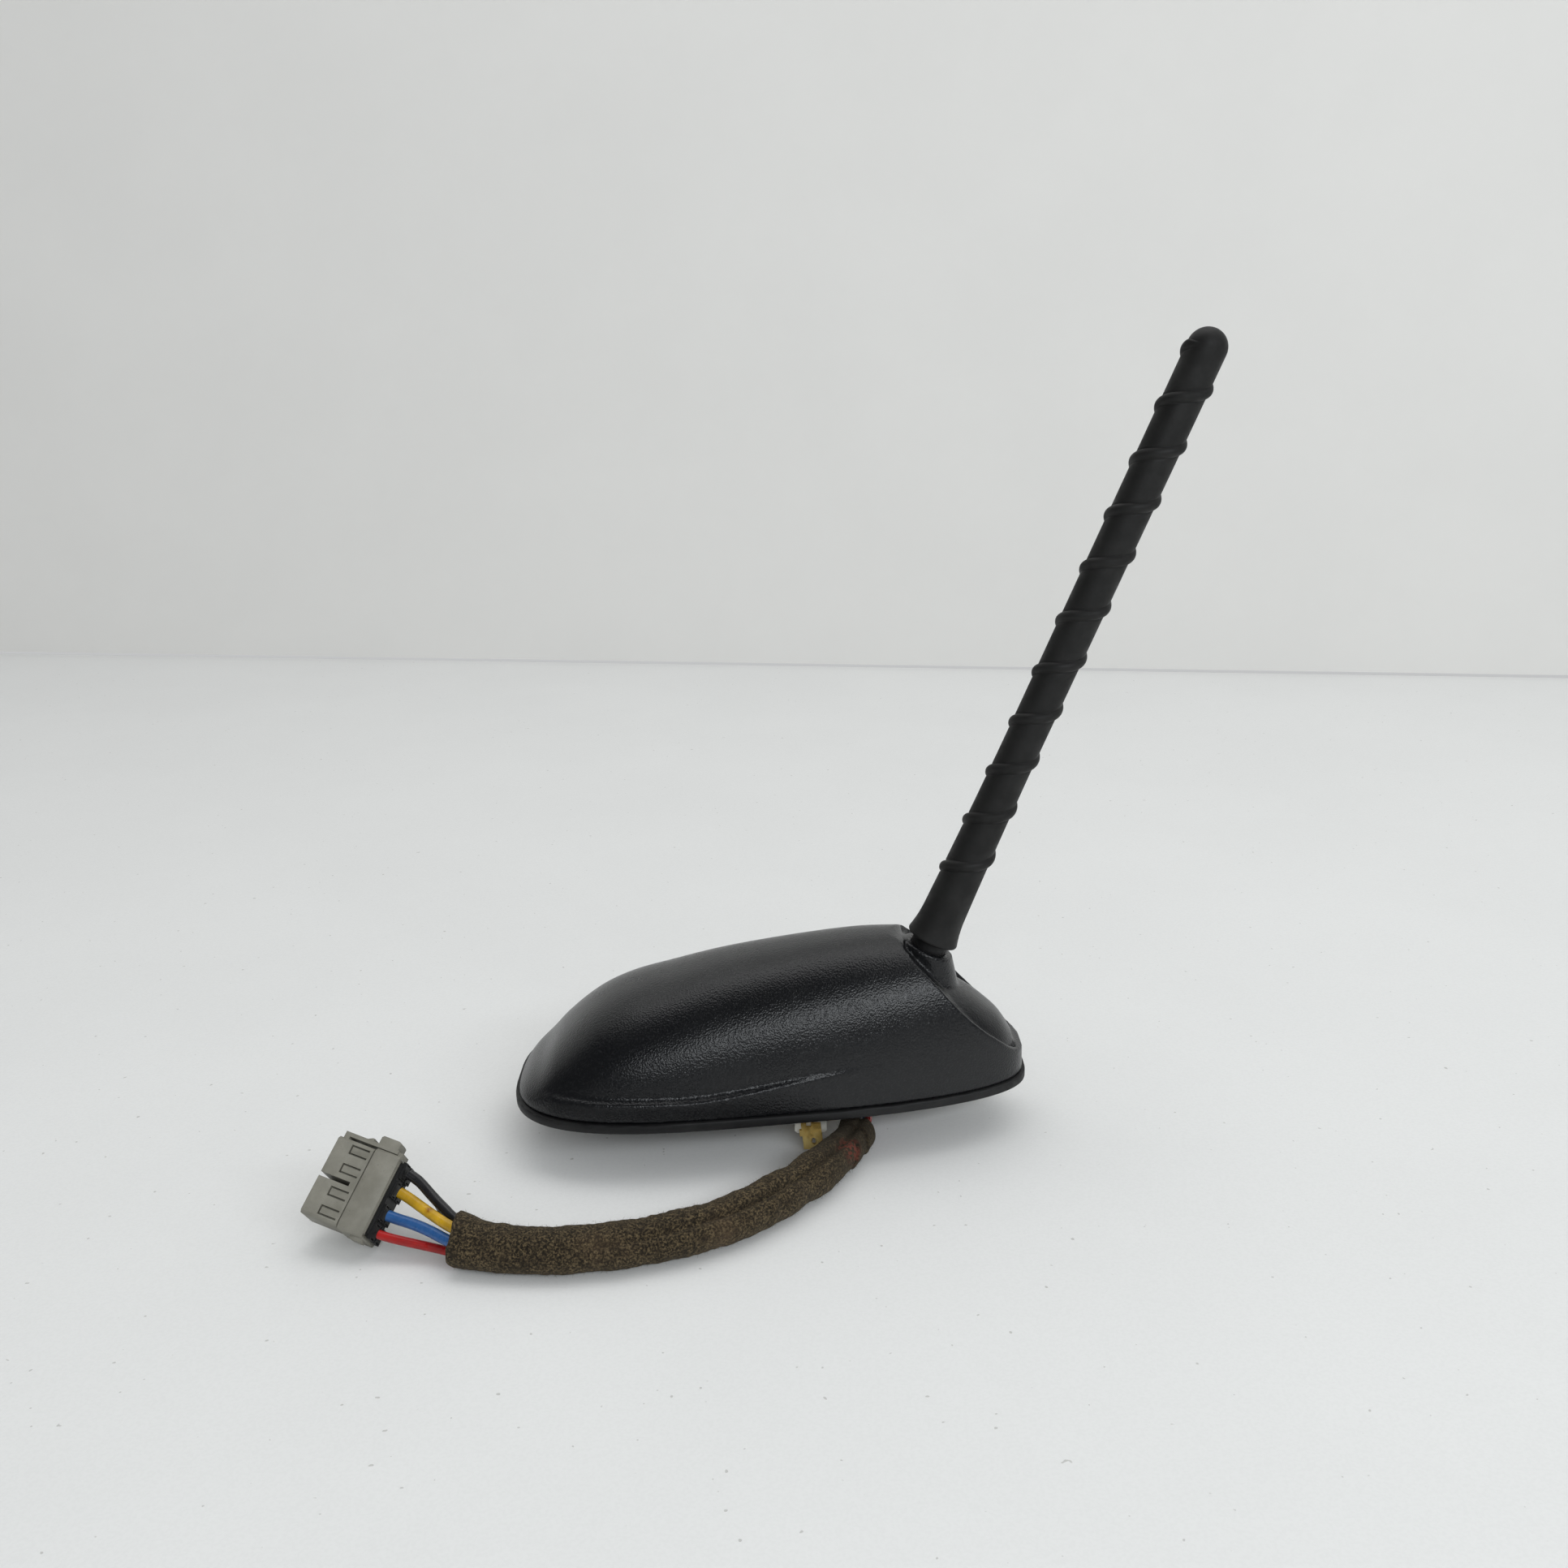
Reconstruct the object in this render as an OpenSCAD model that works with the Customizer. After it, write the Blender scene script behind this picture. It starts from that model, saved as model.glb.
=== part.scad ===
// Roof antenna for a car: a grained shell on a sealed die-cast base, a raked rubber mast with a
// helical rib, a clamp that grips the roof panel, and a short felt-wrapped harness with its plug.
// The origin is on the fixing bolt's axis in the plane where the gasket meets the roof. The nose
// points to -X, the tail and the mast's rake to +X, and +Z leaves the roof.

/* [Base outline] */
// Length of the shell at its foot
shell_l = 161.2; // [130:0.1:200]
// Half the width that sets the foot outline, before the taper
shell_hw = 33.4; // [27:0.1:41]
// How squarely the foot outline turns its corners
plan_e = 2.97; // [2.2:0.01:4]
// Loss of width toward the tail, as a share of the half width
plan_taper = 0.28; // [0:0.01:0.4]
// Distance from the bolt axis forward to the middle of the outline
mid_back = 12; // [6:0.5:20]

/* [Shell] */
// Height of the highest point of the crest above the roof
crest_z = 48.8; // [42:0.1:56]
// Roundness of the arch across the shell
arch_n = 2.34; // [2:0.01:3]
// Wall thickness of the moulded shell
shell_wall = 2.4; // [1.8:0.1:3]
// Depth of the rear deck below the rim that frames it
deck_step = 1; // [0.6:0.1:1.6]
// Inward step of the ledge along each flank
ledge_in = 1.8; // [0.8:0.1:2.4]
// Rise of that ledge
ledge_up = 1.3; // [0.8:0.1:2]

/* [Gasket] */
// Height of the rubber band seen round the foot
gasket_h = 2.8; // [2:0.1:4]
// How far the band stands out past the shell
gasket_out = 1; // [0.5:0.1:2]
// Thickness of the rubber mat under the base
mat_t = 1.4; // [1:0.1:2]

/* [Base casting] */
// Thickness of the casting's floor
plate_t = 3; // [2:0.1:4]
// Gap between the casting and the inside of the shell
plate_gap = 0.5; // [0.3:0.1:1]
// Length of the spigot that drops into the roof opening
spigot_l = 34; // [30:0.5:40]
// Width of that spigot
spigot_w = 26; // [20:0.5:30]
// Drop of the spigot below the roof plane
spigot_drop = 1.6; // [1:0.1:2]
// Diameter of the hole that the leads come through
cable_d = 15; // [13:0.5:17]

/* [Mast] */
// Length of the rubber mast along its own axis
mast_l = 200; // [160:1:240]
// Rake of the mast back from upright, in degrees
mast_rake = 23.6; // [15:0.1:35]
// Diameter of the plain upper part of the mast
mast_d = 11.7; // [10:0.1:13]
// Diameter at the flared foot
mast_foot_d = 16.8; // [14:0.1:19]
// Pitch of the helical rib
rib_pitch = 16.9; // [13:0.1:22]
// Height of the rib over the rubber
rib_h = 0.95; // [0.5:0.05:1.5]
// Distance from the foot to where the rib starts
rib_start = 21; // [17:0.5:30]
// Diameter of the glass-fibre rod
rod_d = 4; // [3:0.1:5]
// Diameter of the stud's thread
stud_d = 5; // [4:0.5:6]
// Running clearance round the stud and the inserts
stud_gap = 0.05; // [0.02:0.01:0.1]

/* [Clamp] */
// Length of the white clamp block across the car
block_l = 40; // [32:0.5:46]
// Its width fore and aft
block_w = 10; // [8:0.5:12]
// Its height
block_h = 8; // [6:0.5:9]
// Distance of the block's top below the roof plane
block_drop = 2.6; // [2.2:0.1:4]
// Thickness of the plated steel strap
strap_t = 1; // [0.8:0.1:1.2]
// Width of the strap and its tabs
strap_w = 6.2; // [5:0.1:7]
// Length of the tab that hangs below the strap
tab_l = 6.1; // [4:0.1:6.2]
// Diameter of the fixing bolt
bolt_d = 6; // [5:0.1:7.5]

/* [Harness] */
// Outer diameter of the felt sleeve along its run
sleeve_d = 12.8; // [11:0.1:14]
// Outer diameter at its open mouth
mouth_d = 15.2; // [14:0.1:16]
// Diameter of the blue lead
blue_d = 3.2; // [2.4:0.1:3.4]
// Diameter of the yellow lead
yellow_d = 3.1; // [2.4:0.1:3.3]
// Diameter of the red lead
red_d = 2.6; // [2:0.1:3]
// Diameter of the heavier black lead
black_d = 3; // [2.4:0.1:3.2]
// Diameter of the thin black lead
black_thin_d = 2.2; // [1.6:0.1:2.6]

/* [Connector] */
// Length of the grey housing from the mating end to the wire end
plug_l = 20.8; // [18:0.1:24]
// Width across its row of cavities
plug_w = 23.4; // [22:0.1:29]
// Its thickness
plug_t = 12; // [11:0.1:15]
// Length of the rear lock band
lock_l = 8.6; // [6:0.1:10]

/* [Hidden] */
$fn = 40;

mid_x = -mid_back;
half_l = shell_l / 2;
foot_z = gasket_h;

// Share of the half length against share of the crest height, nose to tail
crest_line = [
    [-1, 0.02], [-0.96, 0.1], [-0.9, 0.2], [-0.83, 0.34], [-0.74, 0.48], [-0.65, 0.585],
    [-0.54, 0.67], [-0.4, 0.74], [-0.2, 0.835], [0, 0.905], [0.2, 0.96], [0.35, 0.992],
    [0.44, 1], [0.6, 1], [0.8, 0.97], [0.9, 0.85], [0.96, 0.62], [1, 0.3]
];
// The same for the deck, which runs down from the crest to the tail
deck_line = [
    [0.3, 0.93], [0.44, 0.945], [0.55, 0.89], [0.66, 0.7], [0.78, 0.53], [0.88, 0.36],
        [0.95, 0.25], [1, 0.16]
];
// The edge that cuts the shell off above the deck, in the same shares
rim_line = [
    [0.42, 1.04], [0.47, 1.003], [0.51, 0.985], [0.54, 0.94], [0.58, 0.865], [0.65, 0.74],
    [0.74, 0.56], [0.82, 0.42], [0.9, 0.305], [0.96, 0.22], [1.05, 0.16]
];
rise = crest_z - foot_z;
stations = 44;
arch_points = 12;

function clamp(v, low, high) = min(max(v, low), high);
function smooth(t) = let (s = clamp(t, 0, 1)) s * s * (3 - 2 * s);
function last(list) = list[len(list) - 1];

// Value of a chosen line at u, on a smooth curve through its points
function slope_at(line, i) =
    i <= 0 ? (line[1][1] - line[0][1]) / (line[1][0] - line[0][0])
    : i >= len(line) - 1 ? (line[i][1] - line[i - 1][1]) / (line[i][0] - line[i - 1][0])
    : (line[i + 1][1] - line[i - 1][1]) / (line[i + 1][0] - line[i - 1][0]);
function span_of(line, u, i = 0) = i >= len(line) - 2 || u <= line[i + 1][0] ? i : span_of(line, u, i + 1);
function along(line, u) =
    let (
        i = span_of(line, u),
        w = line[i + 1][0] - line[i][0],
        t = clamp((u - line[i][0]) / w, 0, 1),
        a = line[i][1],
        b = line[i + 1][1]
    )
    a * (1 + 2 * t) * pow(1 - t, 2) + b * (3 - 2 * t) * t * t
    + slope_at(line, i) * w * t * pow(1 - t, 2) - slope_at(line, i + 1) * w * t * t * (1 - t);

// Foot outline: half its width at the share u of the half length, for an outline moved in by inset
function plan_hw(u, inset = 0) =
    (shell_hw - inset) * (1 - plan_taper * u) * pow(max(0, 1 - pow(abs(u), plan_e)), 1 / plan_e);
function outline(inset, n = 72) = [
    for (i = [0:n - 1])
        let (
            a = 360 * i / n,
            u = sign(cos(a)) * pow(abs(cos(a)), 2 / plan_e),
            v = sign(sin(a)) * pow(abs(sin(a)), 2 / plan_e)
        )
        [mid_x + (half_l - inset) * u, (shell_hw - inset) * (1 - plan_taper * u) * v]
];

// Half a section of an arch, from its foot up to the crest, with the flank's ledge
function ledge_z(u) = foot_z + 5.8 + 6.4 * smooth((u + 0.35) / 0.75);
function ledge_at(u) = smooth((u + 0.93) / 0.15) * (1 - smooth((u + 0.25) / 0.62));
function arch_angle(z, h, n) = asin(pow(clamp(z / h, 0, 1), n / 2));
function arch_y(hw, angle, n) = hw * pow(cos(angle), 2 / n);
function half_arch(u, inset, h, n, ledge) =
    let (
        hw = plan_hw(u, inset),
        low = min(ledge_z(u) - foot_z, 0.4 * h),
        high = min(low + ledge_up, 0.55 * h),
        step = ledge * ledge_at(u),
        a1 = arch_angle(high, h, n)
    )
    concat(
        [
            [hw, 0],
            [arch_y(hw, arch_angle(low / 2, h, n), n), low / 2],
            [arch_y(hw, arch_angle(low, h, n), n), low]
        ],
        [
            for (j = [0:arch_points - 3])
                let (a = a1 + (90 - a1) * j / (arch_points - 3))
                [arch_y(hw - step, a, n), h * pow(sin(a), 2 / n)]
        ]
    );
function section(u, inset, h, n, ledge) =
    let (
        half = half_arch(u, inset, h, n, ledge),
        x = mid_x + (half_l - inset) * u,
        top = len(half) - 1
    )
    concat(
        [for (j = [0:top]) [x, -half[j][0], foot_z + half[j][1]]],
        [for (j = [1:top]) [x, half[top - j][0], foot_z + half[top - j][1]]]
    );

// A closed solid through a row of sections that have the same number of points
function loft_faces(rings, count) = concat(
    [[for (j = [0:count - 1]) count - 1 - j]],
    [
        for (i = [0:rings - 2], j = [0:count - 1])
            [i * count + j, i * count + (j + 1) % count, (i + 1) * count + (j + 1) % count,
                (i + 1) * count + j]
    ],
    [[for (j = [0:count - 1]) (rings - 1) * count + j]]
);
module loft(sections) {
    polyhedron(
        points = [for (ring = sections) each ring],
        faces = loft_faces(len(sections), len(sections[0])),
        convexity = 6
    );
}
module arch_loft(from_u, to_u, count, line, inset, drop, n, ledge) {
    a0 = asin(from_u);
    a1 = asin(to_u);
    loft([
        for (i = [0:count - 1])
            let (u = sin(a0 + (a1 - a0) * i / (count - 1)))
            section(u, inset, max(rise * along(line, u) - drop, 0.6), n, ledge)
    ]);
}

// Mast frame: its axis leaves the socket ring and leans back
mast_x = mid_x + 0.6452 * half_l;
mast_z = crest_z - 2.75;
ring_drop = 2.9;
ring_d = 16.8;
socket_l = 13;
collar_d = 11.6;
module on_mast(along_axis = 0) {
    translate([mast_x, 0, mast_z]) rotate([0, mast_rake, 0]) translate([0, 0, along_axis]) children();
}

// Screws that pull the casting up into the shell
nose_u = -0.77;
tail_u = 0.645;
screw_xy = [
    for (u = [nose_u, tail_u], side = [1, -1])
        [mid_x + u * half_l, side * (u < 0 ? 0.52 : 0.61) * plan_hw(u)]
];
screw_d = 3;
post_d = 6.4;
function share(x) = (x - mid_x) / half_l;
function shell_z(x, y, inset) =
    let (u = share(x), hw = plan_hw(u, inset), h = rise * along(u < 0.5 ? crest_line : deck_line, u))
    foot_z + h * pow(max(0, 1 - pow(abs(y) / hw, arch_n)), 1 / arch_n);

plate_z = mat_t;
plate_top = plate_z + plate_t;
plate_inset = shell_wall + 0.6 + plate_gap;

module deck_cutter() {
    top = 2 * crest_z;
    rotate([90, 0, 0])
        linear_extrude(4 * shell_hw, center = true)
            polygon(concat(
                [for (p = rim_line) [mid_x + half_l * p[0], foot_z + rise * p[1]]],
                [[mid_x + 2 * half_l, foot_z + rise * last(rim_line)[1]],
                    [mid_x + 2 * half_l, top], [mid_x, top]]
            ));
}
module mast_boss() {
    boss_d = 19;
    boss_x = mast_x + 1.3;
    hull() {
        on_mast(-ring_drop - 1.2) cylinder(h = 1.2, d = ring_d);
        translate([boss_x, 0, 14]) cylinder(h = 4, d = boss_d);
    }
}
module shell_posts() {
    for (p = screw_xy) {
        top = shell_z(p[0], p[1], 0) - 0.5 * shell_wall - 1.5;
        out = p[1] > 0 ? 1 : -1;
        hull() {
            translate([p[0], p[1], plate_top]) cylinder(h = 3, d = post_d, $fn = 24);
            translate([p[0], p[1], top - 3]) cylinder(h = 3, d = post_d + 0.8, $fn = 24);
        }
        hull() {
            translate([p[0] - 0.7, p[1], plate_top]) cube([1.4, 0.5, 8]);
            translate([p[0] - 0.7, out * (plan_hw(share(p[0])) - 2.2), plate_top]) cube([1.4, 0.5, 3]);
        }
    }
}
module cover() {
    color([0.09, 0.1, 0.11])
        difference() {
            union() {
                difference() {
                    arch_loft(-0.998, 0.998, stations, crest_line, 0, 0, arch_n, ledge_in);
                    deck_cutter();
                }
                arch_loft(0.3, 0.997, 20, deck_line, deck_step, 0, 3.1, 0);
                mast_boss();
            }
            difference() {
                union() {
                    translate([0, 0, -0.5])
                        arch_loft(-0.985, 0.5, 22, crest_line, shell_wall + 0.6, shell_wall,
                            arch_n, ledge_in);
                    translate([0, 0, -0.5])
                        arch_loft(0.44, 0.985, 14, deck_line, shell_wall + deck_step,
                            shell_wall + 2, 2.8, 0);
                }
                shell_posts();
                on_mast(-ring_drop - socket_l - 2) cylinder(h = socket_l + 6, d = 14);
            }
            for (p = screw_xy) translate([p[0], p[1], plate_top - 1])
                cylinder(h = 11, d = screw_d - 0.4, $fn = 20);
            on_mast(-ring_drop - socket_l - 4) cylinder(h = socket_l + 6, d = 8.2);
            on_mast(-ring_drop - 0.8) cylinder(h = 3, d = collar_d + 0.4);
        }
}

opening_x = spigot_l / 2 - 8;
module rounded_slot(l, w, h, r) {
    linear_extrude(h)
        union() {
            square([l - 2 * r, w], center = true);
            square([l, w - 2 * r], center = true);
            for (sx = [-1, 1], sy = [-1, 1]) translate([sx * (l / 2 - r), sy * (w / 2 - r)]) circle(r);
        }
}
screw_head_d = 5.6;
module gasket() {
    color([0.06, 0.06, 0.065])
        difference() {
            linear_extrude(gasket_h) polygon(outline(-gasket_out, 132));
            translate([0, 0, mat_t]) linear_extrude(gasket_h) polygon(outline(plate_inset - 0.3));
            translate([opening_x, 0, -1]) rounded_slot(spigot_l + 0.6, spigot_w + 0.6, mat_t + 2, 4.3);
            for (p = screw_xy) translate([p[0], p[1], -1]) cylinder(h = mat_t + 2, d = screw_head_d + 0.6);
        }
}

cable_x = 16;
cable_y = -2;
board_z = plate_top + 3.6;
board_t = 1.6;
board_l = 0.571 * shell_l;
board_w = 1.377 * shell_hw;
board_x = mid_x - 0.149 * half_l;
board_screw_xy = [
    for (x = [8 - board_l / 2, board_l / 2 - 4], side = [1, -1]) [board_x + x, side * (board_w / 2 - 3)]
];
module base_plate() {
    color([0.62, 0.63, 0.64])
        difference() {
            union() {
                translate([0, 0, plate_z]) linear_extrude(foot_z - plate_z) polygon(outline(plate_inset));
                translate([0, 0, plate_z]) linear_extrude(plate_t) polygon(outline(plate_inset + 3.6));
                difference() {
                    translate([0, 0, plate_z]) linear_extrude(plate_t + 2) polygon(outline(plate_inset + 7));
                    translate([0, 0, plate_top]) linear_extrude(4) polygon(outline(plate_inset + 8.6));
                    for (p = screw_xy) translate([p[0], p[1], plate_top]) cylinder(h = 4, d = post_d + 1);
                }
                translate([opening_x, 0, -spigot_drop])
                    rounded_slot(spigot_l, spigot_w, plate_z + spigot_drop + 0.5, 4);
                translate([0, 0, plate_z]) cylinder(h = 6.4, d = 12);
                for (p = board_screw_xy) translate([p[0], p[1], plate_z])
                    cylinder(h = board_z - plate_z, d = 5.6);
            }
            translate([0, 0, -spigot_drop - 1]) cylinder(h = 12, d = bolt_d + 0.1);
            translate([cable_x, cable_y, -spigot_drop - 1]) cylinder(h = 12, d = cable_d);
            for (p = screw_xy) {
                translate([p[0], p[1], plate_z - 1]) cylinder(h = plate_t + 2, d = screw_d + 0.3);
                translate([p[0], p[1], plate_z - 1]) cylinder(h = 2.2, d = screw_head_d + 0.4);
            }
            for (p = board_screw_xy) translate([p[0], p[1], board_z - 4]) cylinder(h = 5, d = 2.1);
            translate([opening_x - 3, 0, -spigot_drop - 1])
                for (side = [-1, 1]) translate([12, side * 9.4, 0]) cylinder(h = 2.2, d = 4);
        }
}
module cover_screws() {
    color([0.7, 0.7, 0.68])
        for (p = screw_xy) {
            translate([p[0], p[1], plate_z - 1 + 2.2 - 1.9])
                difference() {
                    cylinder(h = 1.9, d = screw_head_d);
                    translate([0, 0, -0.1]) cylinder(h = 1.2, d = 2.6, $fn = 6);
                }
            translate([p[0], p[1], plate_z + 1.1]) cylinder(h = 9.6, d = screw_d - 0.5);
        }
}

module circuit_board() {
    color([0.1, 0.32, 0.17])
        difference() {
            translate([board_x, 0, board_z]) rounded_slot(board_l, board_w, board_t, 3);
            for (p = board_screw_xy) translate([p[0], p[1], board_z - 1]) cylinder(h = 4, d = 2.7);
            translate([0, 0, board_z - 1]) cylinder(h = 4, d = 8.4);
        }
}
module board_screws() {
    color([0.75, 0.75, 0.72])
        for (p = board_screw_xy) {
            translate([p[0], p[1], board_z + board_t]) cylinder(h = 1.6, d = 4.6);
            translate([p[0], p[1], board_z - 3.4]) cylinder(h = 3.5 + board_t, d = 2);
        }
}
patch_x = board_x - board_l / 2 + 18;
can_x = patch_x + 28;
can_l = 26;
can_w = 30;
can_h = 5.4;
module shield_can() {
    sheet = 0.4;
    color([0.78, 0.78, 0.76])
        translate([can_x, 0, board_z + board_t])
            difference() {
                rounded_slot(can_l, can_w, can_h, 1);
                translate([0, 0, -1])
                    rounded_slot(can_l - 2 * sheet, can_w - 2 * sheet, can_h + 1 - sheet, 0.8);
                for (i = [-1:1], j = [-1:1]) translate([i * 7, j * 8, can_h - 1]) cylinder(h = 2, d = 1.6);
            }
}
module patch_antenna() {
    color([0.86, 0.84, 0.78])
        translate([patch_x, 0, board_z + board_t]) {
            difference() {
                rounded_slot(25, 25, 4, 1.2);
                translate([2.4, 0, 3.6]) cylinder(h = 1, d = 2.2);
            }
            translate([0, 0, 4]) linear_extrude(0.3) difference() {
                square(20, center = true);
                translate([2.4, 0]) circle(d = 2.2);
                for (s = [-1, 1]) translate([s * 10, s * 10]) rotate(45) square(4, center = true);
            }
        }
}

// The leaf that carries the signal from the board up to the socket
socket_foot = -ring_drop - 0.8 - socket_l;
leaf_top = [mast_x + socket_foot * sin(mast_rake), mast_z + socket_foot * cos(mast_rake)];
module contact_spring() {
    leaf = 0.5;
    base = board_z + board_t;
    foot_x = board_x + board_l / 2 - 8;
    color([0.8, 0.66, 0.36])
        translate([0, 2, 0])
            rotate([90, 0, 0])
                linear_extrude(4)
                    polygon([
                        [foot_x, base], [foot_x + 7, base], [leaf_top[0] - 3.2, leaf_top[1] - 5],
                        [leaf_top[0] + 0.4, leaf_top[1] - 1.6], [leaf_top[0] + 0.2, leaf_top[1] - 0.4],
                        [leaf_top[0] - 0.6, leaf_top[1] - 0.7], [leaf_top[0] - 3.9, leaf_top[1] - 4.7],
                        [foot_x + 6.7, base + leaf], [foot_x, base + leaf]
                    ]);
}
insert_d = 8;
module socket_insert() {
    color([0.79, 0.65, 0.32])
        on_mast(-ring_drop - 0.8 - socket_l)
            difference() {
                union() {
                    cylinder(h = socket_l, d = insert_d);
                    for (k = [2, 6, 10]) translate([0, 0, k]) cylinder(h = 1.6, d = insert_d + 0.16);
                }
                translate([0, 0, 1.6]) cylinder(h = socket_l, d = stud_d + 2 * stud_gap);
            }
}
module collar_seal() {
    color([0.03, 0.03, 0.03])
        on_mast(-ring_drop - 0.8)
            rotate_extrude()
                polygon([
                    [stud_d / 2 + 0.2, 0], [collar_d / 2, 0], [collar_d / 2, ring_drop + 0.2],
                    [collar_d / 2 - 0.6, ring_drop + 0.8], [stud_d / 2 + 0.2, ring_drop + 0.8]
                ]);
}

// Mast rubber: station along the axis against radius, then the dome
ferrule_d = 9;
ferrule_l = 15;
function mast_r(z) =
    mast_d / 2 + (0.86 * mast_foot_d / 2 - mast_d / 2) * pow(1 - clamp(z / (0.36 * mast_l), 0, 1), 1.7)
    + (mast_foot_d - 0.86 * mast_foot_d) / 2 * pow(1 - clamp(z / 10, 0, 1), 2.2);
function mast_profile() = concat(
    [[0, 0], [mast_foot_d / 2 - 0.7, 0], [mast_foot_d / 2 - 0.1, 0.4], [mast_foot_d / 2, 1.1]],
    [for (z = [3, 6, 10, 15, 22, 30, 40, 52, 66]) [mast_r(z), z]],
    [for (a = [0:15:75]) [mast_d / 2 * cos(a), mast_l - mast_d / 2 + mast_d / 2 * sin(a)]],
    [[0, mast_l]]
);
rib_r = 2.6;
rib_steps = 14;
rib_turns = (mast_l - 7.5 - rib_start) / rib_pitch;
rib_phase = 121.4;
module rib_bead(i) {
    turn = i / rib_steps;
    z = rib_start + turn * rib_pitch;
    sunk = rib_r - rib_h * min(1, smooth(turn * 3) + 0.02, smooth((rib_turns - turn) * 3) + 0.02);
    rotate([0, 0, rib_phase + 360 * turn])
        translate([mast_r(z) - sunk, 0, z])
            rotate([90, 0, 0])
                cylinder(h = 0.02, r = rib_r, center = true, $fn = 14);
}
module mast_sheath() {
    color([0.12, 0.12, 0.12])
        on_mast()
            difference() {
                union() {
                    rotate_extrude($fn = 32) polygon(mast_profile());
                    for (i = [0:floor(rib_steps * rib_turns) - 1])
                        hull() {
                            rib_bead(i);
                            rib_bead(i + 1);
                        }
                }
                translate([0, 0, -1]) cylinder(h = ferrule_l + 1.1, d = ferrule_d + 0.2, $fn = 32);
                cylinder(h = mast_l - 9, d = rod_d + 2.4, $fn = 24);
            }
}
module mast_core() {
    color([0.87, 0.84, 0.72]) on_mast(5) cylinder(h = mast_l - 16, d = rod_d);
}
module mast_winding() {
    color([0.72, 0.4, 0.2])
        on_mast(ferrule_l + 6)
            difference() {
                cylinder(h = mast_l - ferrule_l - 24, d = rod_d + 2);
                translate([0, 0, -1]) cylinder(h = mast_l, d = rod_d + 0.04);
            }
}
module mast_ferrule() {
    color([0.75, 0.75, 0.74])
        on_mast()
            difference() {
                union() {
                    translate([0, 0, 0.1]) cylinder(h = ferrule_l - 0.1, d = ferrule_d);
                    translate([0, 0, -ring_drop - socket_l + 1.4])
                        cylinder(h = ring_drop + socket_l - 1.2, d = stud_d);
                }
                translate([0, 0, 4.9]) cylinder(h = ferrule_l, d = rod_d + 0.04);
            }
}

block_top = -block_drop;
block_low = block_top - block_h;
strap_end = block_l / 2 + strap_t + 0.1;
module clip_block() {
    color([0.93, 0.93, 0.9])
        difference() {
            union() {
                translate([0, 0, block_low])
                    rotate([90, 0, 0])
                        linear_extrude(block_l, center = true)
                            polygon([
                                [-block_w / 2, 0.8], [-block_w / 2 + 0.8, 0],
                                    [block_w / 2 - 0.8, 0], [block_w / 2, 0.8],
                                [block_w / 2, block_h], [-block_w / 2, block_h]
                            ]);
                translate([0, 0, block_top - 0.5]) cylinder(h = block_drop - spigot_drop + 0.5, d = block_w);
            }
            translate([0, 0, block_low - 1]) cylinder(h = block_h + 6, d = bolt_d + 0.1);
            for (side = [-1, 1])
                translate([0, side * (block_l / 2 - 6), block_top])
                    cube([block_w + 2, 5, 2.4], center = true);
            for (side = [-1, 1])
                translate([side * block_w / 2, 0, block_low + 4])
                    cube([1.6, block_l - 22, 3], center = true);
        }
}
strap_hole_d = 1.6;
module retaining_clip() {
    low = block_low - strap_t + 4.8 - tab_l;
    high = low + tab_l;
    color([0.76, 0.6, 0.22])
        difference() {
            union() {
                translate([0, 0, block_low - strap_t])
                    linear_extrude(strap_t)
                        union() {
                            square([strap_w, 2 * strap_end], center = true);
                            circle(d = block_w);
                        }
                for (side = [-1, 1])
                    translate([-strap_w / 2, side > 0 ? strap_end - strap_t : -strap_end, low])
                        cube([strap_w, strap_t, high - low]);
                for (side = [-1, 1])
                    translate([-strap_w / 2 - 1.4, side > 0 ? strap_end - strap_t : -strap_end, high - 3])
                        cube([1.6, strap_t, 1.4]);
            }
            translate([0, 0, block_low - strap_t - 1]) cylinder(h = strap_t + 2, d = bolt_d + 0.1);
            translate([0.3, 0, low + 1.9]) rotate([90, 0, 0])
                cylinder(h = 4 * block_l, d = strap_hole_d, center = true);
            for (side = [-1, 1])
                translate([-0.7, side * strap_end, high]) cube([1.5, 3 * strap_t, 1.6], center = true);
        }
}
module fixing_bolt() {
    head_h = 4;
    head_z = block_low - strap_t - head_h;
    color([0.72, 0.66, 0.42])
        difference() {
            union() {
                translate([0, 0, head_z]) cylinder(h = head_h, d = 1.6 * bolt_d, $fn = 6);
                translate([0, 0, head_z + head_h - 0.1])
                    cylinder(h = plate_top + 2 - head_z - head_h, d = bolt_d);
            }
            translate([0, 0, head_z - 0.1]) cylinder(h = 2.2, d = 4);
        }
}
bundle_d = 10.6;
module cable_grommet() {
    color([0.05, 0.05, 0.05])
        translate([cable_x, cable_y, 0])
            rotate_extrude()
                polygon([
                    [bundle_d / 2, -spigot_drop], [cable_d / 2 - 0.1, -spigot_drop],
                        [cable_d / 2 - 0.1, plate_top],
                    [cable_d / 2 + 1.2, plate_top], [cable_d / 2 + 1.2, plate_top + 1.1],
                        [bundle_d / 2, plate_top + 1.1]
                ]);
}

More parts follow.
